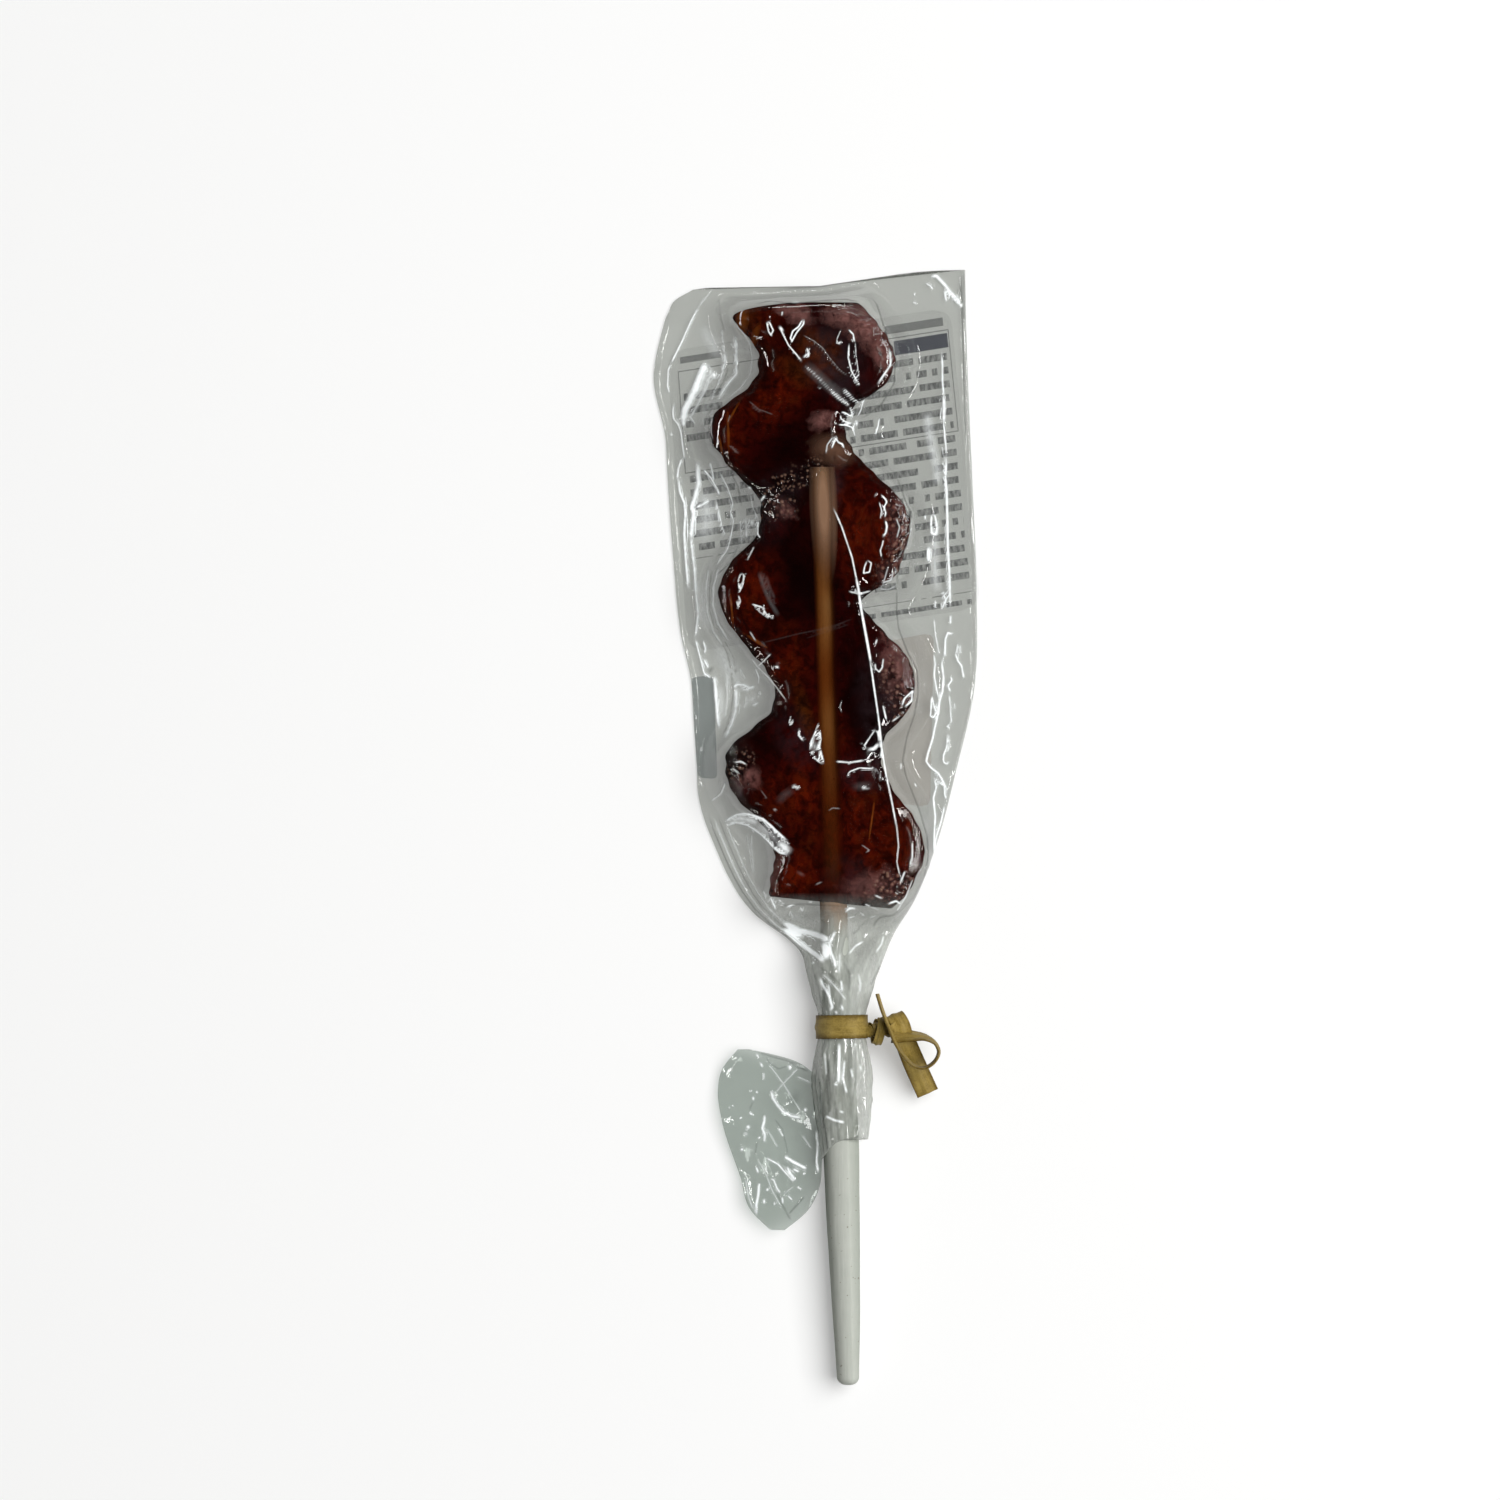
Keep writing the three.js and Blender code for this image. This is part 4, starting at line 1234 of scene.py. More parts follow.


# Creases with painted highlights; rows whose whiteness is below 0 are painted shade lines, and the wide faint
# rows paint soft light.
MARGIN_CREASES = drawn(
    (0.9, 0.26, 20.7, 79.4, 20.9, 76.6, 20.9, 74.0, 21.1, 72.0, 21.2, 69.4, 21.1, 66.9, 21.4, 64.3,
     21.6, 61.0),
    (1.1, 0.3, 21.6, 62.4, 21.4, 57.9, 21.6, 55.6, 21.7, 51.5, 21.8, 46.3, 22.1, 41.2, 22.2, 35.8),
    (1.1, 0.27, 21.2, 28.8, 20.8, 26.9, 21.1, 24.6, 20.9, 22.3, 20.4, 20.7, 20.2, 18.7, 19.7, 16.6,
     19.3, 14.6, 18.5, 12.0, 18.2, 10.7, 18.9, 9.7, 20.2, 8.7, 20.9, 7.5, 21.6, 6.1, 21.6, 4.4),
    (1.3, 0.75, -18.3, 77.4, -19.4, 75.0, -20.2, 72.9, -21.0, 71.1, -22.0, 69.1, -22.3, 66.6),
    (1.0, 0.36, -13.8, 81.4, -13.4, 79.9, -13.5, 78.1, -13.3, 76.5, -13.5, 75.0, -14.8, 73.5, -15.8, 71.9,
     -16.6, 70.2),
    swell=0.25,
) + drawn(
    (1.0, 0.4, 21.1, 71.6, 21.2, 69.4, 21.1, 67.2), (0.9, 0.3, 22.3, 35.2, 22.2, 33.4),
    (0.35, 1.1, 18.3, 69.4, 18.6, 66.6, 19.2, 63.0, 20.0, 59.6, 20.2, 56.2),
    (0.28, 1.1, 19.6, 49.0, 19.6, 44.0, 19.9, 38.4),
    (1.0, 0.26, 19.1, 52.0, 19.0, 50.2, 19.1, 48.7, 19.8, 48.5, 20.0, 49.7, 19.7, 51.5, 19.2, 52.0),
    (1.2, 0.45, 18.6, 46.6, 18.6, 43.7), (1.0, 0.26, 18.0, 51.8, 18.0, 50.8),
    (0.9, 0.26, 21.0, 39.2, 21.4, 37.6, 20.8, 35.9), (0.7, 0.26, 19.7, 37.6, 19.7, 36.0),
    (0.6, 0.22, 19.5, 34.6, 19.7, 32.0, 20.4, 28.4),
    (1.0, 0.28, 22.8, 31.9, 21.8, 32.1, 21.4, 31.0, 21.3, 28.0), (0.7, 0.24, 23.5, 30.4, 23.2, 28.4),
    (0.6, 0.22, 23.9, 30.2, 23.9, 28.4),
    (0.8, 0.24, 19.4, 28.8, 19.7, 26.9, 19.5, 25.1, 19.9, 22.8, 20.4, 20.7),
    (0.9, 0.22, 19.0, 21.9, 19.5, 20.0, 19.8, 18.8, 19.4, 17.9, 18.9, 18.2, 19.0, 20.0, 19.0, 21.6),
    (0.9, 0.24, 22.2, 25.0, 22.5, 24.2, 21.8, 23.3, 22.3, 22.2),
    (0.7, 0.22, 22.0, 21.9, 22.2, 20.0, 22.3, 18.2, 22.5, 16.9),
    (0.9, 0.22, 22.1, 16.0, 21.7, 16.6, 22.3, 16.9),
    (0.9, 0.24, 21.8, 15.4, 21.6, 13.0, 21.1, 11.8, 21.1, 10.6, 21.6, 10.2, 22.1, 10.8),
    (0.5, 0.22, 22.0, 15.2, 22.1, 13.0, 21.7, 12.0), (0.5, 0.22, 22.9, 20.6, 23.0, 19.2),
    (0.9, 0.27, 23.0, 28.8, 23.5, 27.4, 24.1, 26.6, 24.5, 24.4),
    (1.0, 0.26, 19.4, 8.2, 19.9, 6.4, 19.4, 4.6, 19.7, 1.5, 19.5, -1.8, 19.4, -4.9),
    (0.9, 0.22, 19.4, 8.1, 20.4, 7.1, 21.2, 6.6, 21.3, 5.1, 21.6, 4.2),
    (0.9, 0.26, 21.3, 3.6, 20.7, 0.7, 19.9, -1.8, 19.4, -5.0), (0.6, 0.22, 14.0, 10.6, 13.9, 9.2),
    (0.7, 0.22, 16.2, 7.2, 16.6, 6.3),
    (1.1, 0.4, 18.8, 91.4, 19.9, 91.6, 21.2, 90.2, 22.2, 88.9, 23.5, 87.6, 24.4, 86.0),
    (1.0, 0.3, 21.2, 89.3, 21.6, 87.2), (1.0, 0.26, 21.4, 89.3, 22.5, 88.1, 23.8, 86.6),
    (0.9, 0.22, 18.0, 90.4, 18.9, 89.9, 19.4, 89.2), (0.8, 0.26, 16.2, 88.8, 16.3, 88.2),
    (0.9, 0.28, 16.0, 87.2, 16.7, 86.9),
    (-0.6, 0.22, 23.7, 92.5, 24.0, 87.1, 24.3, 82.0, 24.6, 69.4, 24.9, 62.0),
    (-0.4, 0.2, 24.5, 92.4, 24.6, 84.0), (0.35, 0.2, -17.4, 89.4, -18.4, 88.1, -19.9, 86.1),
    (0.9, 0.24, -19.7, 86.4, -21.0, 84.0, -22.5, 80.6, -23.5, 78.6, -24.4, 76.8),
    (0.7, 0.22, -24.3, 77.0, -24.8, 75.8, -24.8, 74.5, -24.9, 73.2, -24.5, 71.9),
    (0.7, 0.24, -23.7, 70.6, -24.0, 69.1, -23.9, 67.8, -23.1, 66.8, -22.6, 65.3, -22.3, 62.7, -22.0, 60.7),
    (0.8, 0.3, -24.6, 65.3, -23.9, 65.0),
    (0.5, 0.4, -17.6, 76.7, -17.9, 74.5, -18.4, 72.9, -19.7, 70.4, -21.2, 67.6),
    (0.4, 1.0, -18.3, 76.2, -19.2, 73.4, -20.6, 70.4), (0.9, 0.55, -17.5, 75.9, -16.8, 74.0),
    (1.1, 0.42, -22.2, 69.2, -22.2, 66.2), (0.6, 0.26, -21.4, 68.4, -20.8, 67.6, -20.2, 66.6),
    (0.6, 0.2, -15.8, 82.6, -15.6, 80.1, -15.3, 77.9), (1.0, 0.28, -15.4, 78.8, -15.3, 77.5, -15.8, 75.5),
    (0.7, 0.22, -15.7, 76.0, -16.1, 74.2, -17.1, 72.2, -17.6, 70.4), (1.2, 0.45, -13.7, 80.8, -13.5, 78.9),
    (0.5, 0.65, -14.6, 74.0, -15.6, 72.2, -16.2, 70.8),
    (0.4, 0.18, -17.0, 70.2, -17.5, 68.3, -17.6, 65.2, -17.3, 63.7),
    (-0.4, 0.2, -14.7, 76.5, -15.3, 74.5, -16.4, 72.4, -17.4, 70.4),
    (-0.4, 0.2, -13.0, 77.3, -13.2, 75.5, -14.0, 74.0),
    (-0.4, 0.2, -17.4, 70.2, -17.9, 68.3, -18.0, 65.2, -17.7, 63.5, -16.6, 61.8),
    (-0.3, 0.2, -16.4, 88.0, -16.0, 84.4, -15.3, 82.0),
    (0.5, 0.22, -16.2, 43.4, -17.2, 39.8, -17.3, 36.7, -16.5, 33.6, -14.5, 30.3),
    (0.45, 0.22, -18.0, 43.4, -18.5, 38.9, -18.2, 35.3, -17.2, 32.2, -15.4, 29.4),
    (-0.3, 0.2, -17.5, 42.4, -17.9, 38.6, -17.8, 35.6, -16.9, 32.4),
    (0.9, 0.26, -22.5, 61.2, -23.1, 59.4, -23.3, 57.6), (0.3, 2.2, -19.2, 57.4, -18.4, 52.0, -18.8, 46.0),
    (0.3, 1.8, -17.4, 31.0, -15.0, 27.0, -12.4, 22.4), (0.25, 1.6, -19.6, 84.0, -17.6, 80.6, -15.6, 77.0),
    (0.25, 1.8, -19.2, 42.0, -19.0, 36.0, -17.6, 31.5),
    (1.0, 0.3, -23.2, 58.7, -22.8, 55.5, -22.1, 53.8, -21.9, 52.2, -22.1, 48.6, -21.9, 45.0, -21.4, 39.0),
    (1.2, 0.5, -19.9, 60.8, -19.8, 59.1, -19.7, 57.0, -20.3, 54.6, -20.8, 53.1, -20.5, 51.9, -20.8, 49.8,
     -21.0, 47.4),
    (0.9, 0.3, -20.9, 49.0, -21.0, 47.8, -20.7, 45.0, -20.4, 42.6, -20.2, 39.1, -19.8, 35.3, -20.3, 30.9),
    (1.0, 0.24, -20.2, 52.9, -19.0, 53.5, -17.9, 54.2),
    (1.0, 0.26, -19.0, 59.4, -17.7, 57.9, -16.5, 55.8, -16.2, 54.9), (0.9, 0.22, -17.8, 60.4, -17.1, 57.4),
    (0.7, 0.22, -17.2, 54.8, -16.4, 52.4, -15.9, 50.0, -15.2, 48.1),
    (0.8, 0.22, -16.5, 59.2, -14.9, 56.2, -14.0, 53.6, -14.4, 52.2, -13.9, 50.7, -14.4, 47.8, -14.9, 45.9,
     -17.1, 42.8),
    (0.9, 0.5, -10.9, 51.2, -10.8, 49.4), (0.5, 0.4, -11.9, 51.4, -11.7, 47.4),
    (0.4, 0.2, -12.8, 51.0, -12.6, 46.6), (0.5, 0.17, -11.1, 55.0, -10.8, 53.1, -9.8, 50.7),
    (0.9, 0.2, -9.8, 50.6, -9.9, 48.3, -9.4, 47.6), (1.0, 0.34, -11.4, 56.1, -11.0, 55.8),
    (0.9, 0.28, -9.5, 53.6, -8.6, 54.8), (0.6, 0.2, -10.5, 46.2, -11.6, 44.0),
    (-0.4, 0.2, -14.6, 59.0, -13.2, 56.4, -12.4, 53.0), (-0.35, 0.2, -13.0, 46.6, -14.2, 43.8, -16.6, 41.6),
    (0.9, 0.22, -20.3, 31.2, -19.4, 27.8, -18.8, 25.4, -17.5, 24.4),
    (1.0, 0.36, -17.1, 25.2, -16.8, 21.3, -16.5, 17.5, -16.2, 16.0),
    (0.25, 1.0, -16.4, 24.0, -16.0, 20.0, -15.8, 17.0), (0.8, 0.2, -19.0, 30.9, -18.6, 29.5, -18.8, 28.5),
    (1.0, 0.25, -18.9, 27.8, -18.0, 26.1), (-0.5, 0.5, -18.2, 25.2, -17.2, 26.6),
    (1.1, 0.3, -14.2, 22.9, -13.2, 23.5, -12.2, 23.4, -11.2, 22.9, -10.2, 23.2),
    (0.8, 0.22, -9.8, 23.4, -9.7, 24.6, -10.3, 26.1), (0.6, 0.3, -13.0, 23.1, -12.0, 22.6, -11.0, 22.5),
    (0.9, 0.42, -13.9, 23.2, -13.5, 22.6, -13.4, 21.3, -13.6, 18.9, -14.2, 17.0, -15.4, 14.4),
    (0.5, 0.17, -13.0, 26.3, -11.9, 24.4), (0.4, 0.3, -9.7, 22.6, -9.4, 21.4),
    (0.9, 0.26, -10.9, 19.9, -9.7, 20.5), (0.3, 0.4, -11.7, 22.0, -11.8, 20.4, -12.3, 19.2),
    (0.25, 0.9, -11.0, 22.0, -10.6, 20.0),
    (-0.45, 0.18, -16.0, 30.9, -14.9, 28.5, -14.3, 26.1, -14.0, 22.5, -14.1, 19.4, -14.9, 16.5,
     -16.0, 14.4),
    (-0.35, 0.16, -15.4, 30.9, -13.9, 28.0, -13.4, 25.0),
    (0.35, 0.3, -15.6, 28.0, -15.0, 25.0, -14.9, 21.0, -15.4, 17.4),
    (0.6, 0.26, -15.2, 7.2, -16.0, 5.3, -17.7, 4.0),
    (-0.5, 0.25, 8.7, 88.2, 9.9, 86.4, 11.5, 80.8, 12.9, 77.5, 12.7, 73.4, 10.6, 69.9, 6.9, 67.3),
    (-0.5, 0.25, 10.7, 61.3, 13.2, 57.8, 14.6, 53.6, 15.4, 52.0, 15.2, 48.4, 13.8, 44.2, 13.2, 41.1,
     13.2, 35.5, 13.5, 32.6, 14.9, 28.8, 16.5, 25.7, 16.7, 22.2, 16.1, 18.6, 14.9, 14.9, 14.2, 10.7,
     14.8, 8.0, 16.8, 2.8, 18.2, -1.7, 18.4, -5.1, 17.7, -8.5, 16.1, -11.9, 13.2, -14.8, 10.0, -15.5),
)
# Painted highlights and painted shade lines along the creases over the candy.
CANDY_CREASES = drawn(
    (0.9, 0.2, 2.5, 52.8, 4.0, 49.5, 5.7, 44.4, 6.9, 38.6),
    swell=0.3, swell_width=1.2,
) + drawn(
    (1.3, 0.28, 6.3, 41.4, 6.8, 39.0, 7.3, 35.5, 8.0, 31.6, 8.9, 26.5),
    (1.1, 0.22, 8.5, 28.6, 9.6, 21.2, 10.2, 16.9, 10.6, 13.4, 11.4, 8.2, 12.3, 3.9, 13.3, -1.4),
    swell=0.35, swell_width=1.4,
) + drawn(
    (0.6, 0.18, 13.0, 1.0, 13.4, -3.2, 13.1, -6.0, 13.7, -8.5),
    (1.1, 0.18, -8.4, 83.4, -8.1, 81.8, -7.7, 81.2, -7.3, 81.9, -7.9, 83.2, -8.3, 83.5),
    (1.0, 0.22, -5.8, 85.1, -5.9, 84.4), (0.8, 0.18, -7.9, 84.3, -7.8, 83.9),
    (1.0, 0.17, -6.4, 82.6, -5.8, 81.5, -4.8, 79.5, -3.7, 78.2, -2.5, 76.7),
    (1.2, 0.34, -6.4, 82.7, -5.6, 81.6),
    (1.2, 0.18, -2.2, 84.0, -2.3, 83.0, -3.5, 81.5, -4.2, 80.2, -4.5, 80.6, -4.1, 81.8, -3.1, 82.6,
     -2.4, 83.9),
    (1.0, 0.18, -1.8, 79.1, -1.5, 78.2, -2.3, 77.4), (1.0, 0.18, -1.3, 79.0, -1.4, 77.9, -1.7, 77.4),
    (0.6, 0.14, 3.9, 82.1, 3.2, 80.5, 3.2, 79.8, 3.8, 79.7, 3.9, 80.3), (1.2, 0.3, 3.4, 79.9, 3.8, 79.8),
    (0.2, 0.16, -2.5, 81.2, -0.6, 80.2, 0.9, 79.0, 2.0, 77.4, 3.5, 75.6, 5.1, 74.3),
    (1.1, 0.22, 5.1, 82.1, 5.9, 81.3, 6.1, 80.0), (1.1, 0.2, 5.2, 79.8, 5.1, 77.4, 5.6, 75.3, 6.8, 73.0),
    (0.6, 0.16, 6.2, 80.2, 6.4, 77.4, 6.9, 74.0), (0.4, 0.18, -2.2, 76.1, -0.6, 74.8, 1.0, 73.2, 3.0, 71.2),
    (1.0, 0.2, 2.2, 71.9, 3.4, 70.8, 5.3, 69.5), (0.06, 1.2, -2.4, 76.6, 1.4, 73.2, 4.6, 70.6),
    (0.9, 0.18, 4.2, 72.4, 5.2, 71.4, 5.9, 70.6, 7.0, 70.0),
    (1.1, 0.2, 7.8, 70.8, 7.3, 69.3, 7.2, 68.8, 6.7, 67.8),
    (1.1, 0.18, 5.3, 69.3, 5.8, 68.3, 5.6, 67.8, 4.7, 68.3, 3.9, 68.5),
    (1.0, 0.18, 3.8, 68.0, 3.9, 67.4, 4.7, 66.9, 5.7, 66.8), (1.1, 0.26, 2.9, 66.7, 3.1, 66.5),
    (1.0, 0.2, 3.4, 66.4, 4.7, 66.4, 5.7, 66.1, 6.1, 65.4, 6.3, 64.5), (1.1, 0.3, 6.6, 67.4, 6.5, 66.2),
    (0.9, 0.24, 10.4, 67.9, 10.2, 66.6, 9.7, 65.0), (1.1, 0.24, 6.7, 73.4, 6.9, 72.8),
    (0.8, 0.2, 0.1, 72.6, 0.5, 72.3), (1.0, 0.22, 2.3, 62.4, 3.0, 64.1, 3.5, 63.4, 4.1, 63.2, 4.4, 62.4),
    (0.5, 0.2, 1.4, 61.6, 1.6, 63.0, 2.6, 64.4), (0.06, 0.18, -11.4, 70.3, -9.7, 68.9, -7.3, 68.0),
    (0.03, 0.16, -10.9, 69.2, -9.4, 68.3), (0.85, 0.26, 11.9, 79.6, 12.1, 76.3, 11.1, 74.8, 9.9, 73.0),
    (0.95, 0.18, 8.2, 44.0, 8.9, 43.5, 8.6, 42.0, 7.6, 41.8, 7.8, 42.9, 8.2, 43.9),
    (0.7, 0.22, 5.2, 38.8, 7.0, 38.4, 8.8, 38.9),
    (1.0, 0.2, 10.5, 54.8, 11.2, 54.1, 11.5, 53.6, 11.0, 52.8, 11.3, 51.8, 11.1, 51.0),
    (1.0, 0.24, 11.2, 50.6, 11.5, 49.6, 11.3, 48.5, 10.8, 47.8),
    (0.8, 0.18, 10.9, 47.4, 10.7, 46.4, 10.4, 45.6, 10.6, 44.4),
    (0.7, 0.16, 10.2, 53.6, 10.6, 52.2, 10.4, 50.8), (0.35, 0.2, 11.7, 42.9, 10.7, 39.5),
    (0.9, 0.17, -12.6, 42.0, -12.1, 41.4, -12.4, 39.7, -12.9, 38.8, -13.1, 40.5, -12.7, 41.9),
    (0.85, 0.17, -13.1, 38.2, -12.7, 37.2, -13.1, 36.2, -13.4, 37.2),
    (0.9, 0.2, -10.9, 36.7, -9.2, 36.2, -8.4, 35.0, -7.2, 34.2),
    (0.5, 0.18, -10.4, 36.2, -9.3, 35.2, -8.0, 34.3), (0.5, 0.2, -11.2, 32.2, -10.2, 30.6),
    (0.05, 0.5, -9.7, 42.2, -9.0, 39.8, -7.9, 37.2, -6.4, 34.6),
    (0.03, 0.4, -8.6, 41.6, -7.9, 39.4, -7.0, 37.4),
    (0.015, 0.2, -9.6, 30.2, -6.7, 30.9, -3.1, 31.8, 0.0, 32.4, 3.0, 33.2, 6.1, 34.4),
    (0.01, 0.18, -2.0, 31.0, 1.6, 32.2, 5.4, 33.4),
    (0.5, 0.17, -11.1, 28.0, -9.9, 26.3, -8.2, 24.7, -6.8, 23.0, -4.9, 20.4),
    (0.6, 0.18, -9.9, 26.3, -7.7, 28.5), (1.0, 0.3, -7.1, 26.4, -6.3, 26.2),
    (0.7, 0.2, 9.5, 27.0, 9.6, 26.0, 10.2, 25.5, 10.7, 26.2, 10.9, 27.8),
    (1.0, 0.2, 0.2, 17.1, -0.3, 15.6, -1.1, 13.9, -1.2, 12.5, -0.6, 11.3, 0.8, 10.2),
    (1.2, 0.26, 0.3, 16.0, 0.5, 14.5, 0.3, 13.1, 0.7, 11.6, 1.0, 10.3), (1.0, 0.2, -0.3, 12.4, 0.0, 12.3),
    (0.3, 0.6, -0.5, 14.4, -0.4, 12.0), (1.0, 0.28, -3.0, 16.1, -3.1, 15.1, -2.3, 14.0),
    (0.8, 0.17, -4.4, 18.2, -4.7, 17.1, -4.4, 16.5, -4.0, 17.4),
    (0.35, 0.16, 4.0, 20.7, 3.7, 19.7, 4.0, 18.8), (0.9, 0.2, 9.5, 15.9, 8.6, 14.6, 7.8, 13.4, 8.1, 12.5),
    (1.2, 0.42, 8.3, 12.6, 9.4, 12.8, 10.3, 13.8), (0.9, 0.2, 10.3, 13.8, 9.9, 15.6, 9.4, 16.0),
    (0.9, 0.2, 7.2, 13.7, 7.5, 13.5), (0.6, 0.16, 10.5, 12.8, 10.4, 11.3),
    (0.8, 0.24, 3.0, 10.7, 5.3, 10.5, 7.9, 10.9), (0.6, 0.16, 5.0, 10.2, 6.4, 10.7),
    (0.9, 0.18, 4.9, 8.2, 5.3, 9.0, 6.9, 9.6, 9.4, 9.5), (0.35, 0.18, 9.6, 9.6, 10.8, 7.6),
    (0.8, 0.22, 7.3, 6.4, 8.5, 6.2), (0.9, 0.22, 10.8, 20.0, 11.1, 18.8, 11.4, 17.5),
    (0.04, 0.9, 5.4, 6.4, 9.4, 6.8),
    (1.3, 0.3, -15.6, 0.4, -14.5, 1.2, -13.4, 1.8, -12.1, 2.0, -10.5, 1.7, -9.0, 1.1, -7.9, 0.2,
     -7.0, -0.7, -5.9, -1.7, -4.8, -2.6),
    (1.3, 0.27, -15.5, 0.4, -14.7, 0.1, -13.6, 0.5, -12.5, 0.3, -11.5, 0.0, -10.5, -0.6, -9.3, -1.5,
     -8.2, -2.5, -7.0, -3.7, -6.2, -4.4, -4.6, -4.8),
    (0.75, 0.7, -14.8, 0.7, -13.0, 1.2, -11.0, 0.9, -9.6, 0.3),
    (0.3, 1.0, -10.4, 0.6, -8.6, -0.7, -6.8, -2.3, -6.0, -3.0),
    (1.2, 0.9, -7.0, -2.4, -5.9, -3.2, -4.2, -4.6), (0.4, 0.18, -10.9, -1.2, -10.9, -3.2, -10.5, -8.1),
    (0.3, 0.16, -11.8, -1.0, -11.2, -4.4, -10.8, -8.1), (0.7, 0.22, 15.7, -2.6, 15.7, -5.1, 15.2, -6.7),
    (0.95, 0.3, -7.9, -11.6, -6.8, -13.9), (0.7, 0.2, -13.8, 10.5, -12.6, 10.7, -11.7, 10.1),
    (0.8, 0.18, -14.1, 9.6, -12.9, 8.6), (0.03, 0.9, -6.9, 3.6, -5.6, 5.0, -3.6, 6.5),
    (0.95, 0.22, -4.1, 6.8, -3.4, 6.3, -2.8, 6.5), (0.9, 0.28, -7.3, 2.8, -7.0, 2.6),
    (0.1, 0.18, -9.4, 6.0, -8.3, 4.5), (0.25, 0.16, 7.3, -3.1, 8.6, -4.0, 8.0, -4.4),
    (0.2, 0.18, 1.9, 2.6, 2.5, 3.0, 3.7, 2.9), (0.2, 0.22, -0.3, -9.7, 0.7, -9.2),
    (0.04, 0.4, -3.6, -7.4, -2.0, -8.3), (0.9, 0.26, 11.6, -12.9, 13.0, -12.4, 14.0, -13.1),
    (0.7, 0.24, 9.4, -11.4, 10.8, -12.0), (0.5, 0.2, 15.8, -8.7, 14.6, -11.8, 13.0, -14.3),
    (0.8, 0.22, 14.5, -7.4, 13.7, -9.4), (0.6, 0.2, -9.0, -10.6, -8.4, -12.4),
    (0.4, 0.2, 0.6, -12.9, 1.4, -13.3), (0.5, 0.2, -6.2, -12.6, -5.2, -13.0),
    (0.5, 0.2, 8.8, -13.4, 10.2, -13.9),
    (1.0, 0.22, 13.9, 19.7, 14.4, 21.1, 15.7, 22.3, 15.6, 20.7, 14.3, 19.6),
    (0.8, 0.22, 9.5, 29.9, 9.9, 31.0), (0.7, 0.2, 12.3, 17.3, 13.6, 18.2),
    (0.35, 0.2, 9.9, 39.3, 11.7, 39.1, 13.1, 39.8, 13.5, 41.6, 12.6, 43.0),
    (0.5, 0.2, 10.7, 40.2, 12.2, 40.7, 12.6, 42.2),
    (0.35, 0.22, 14.3, 51.9, 15.7, 49.6, 14.9, 46.5, 13.4, 44.6),
    (0.5, 0.2, 13.0, 51.0, 13.6, 49.4, 13.1, 47.6), (0.3, 0.2, 9.4, 54.4, 9.9, 55.2),
    (0.85, 0.22, -5.2, -13.5, -4.4, -13.1, -3.6, -13.2), (0.7, 0.2, -2.9, -13.3, -2.4, -14.3),
    (0.5, 0.18, -4.5, -14.0, -4.0, -15.4), (0.8, 0.26, -6.6, -12.0, -5.9, -12.6),
    (0.7, 0.22, -1.6, -12.4, -0.6, -12.8), (0.7, 0.22, 7.8, -12.9, 8.8, -13.3),
    (-0.4, 0.3, -6.4, -13.4, -3.0, -12.9, 1.0, -13.1, 5.0, -13.3),
    (1.1, 0.3, 4.6, -14.4, 5.2, -13.6, 6.4, -13.6), (0.8, 0.22, 7.0, -14.3, 7.9, -15.0),
    (0.6, 0.2, 5.0, -15.3, 6.2, -15.0), (0.5, 0.2, 8.6, -15.3, 9.8, -14.9),
    (0.3, 0.16, -14.2, 85.2, -14.1, 83.4, -12.5, 81.9, -11.2, 80.0, -10.8, 77.1, -11.2, 74.8, -12.6, 72.7,
     -15.1, 70.4),
    (-0.5, 0.18, -10.7, 86.3, -7.6, 86.9, -3.7, 86.4, 0.4, 86.9, 4.6, 87.2, 7.2, 86.7),
    (0.6, 0.18, -4.4, 86.6, -2.8, 86.7),
)
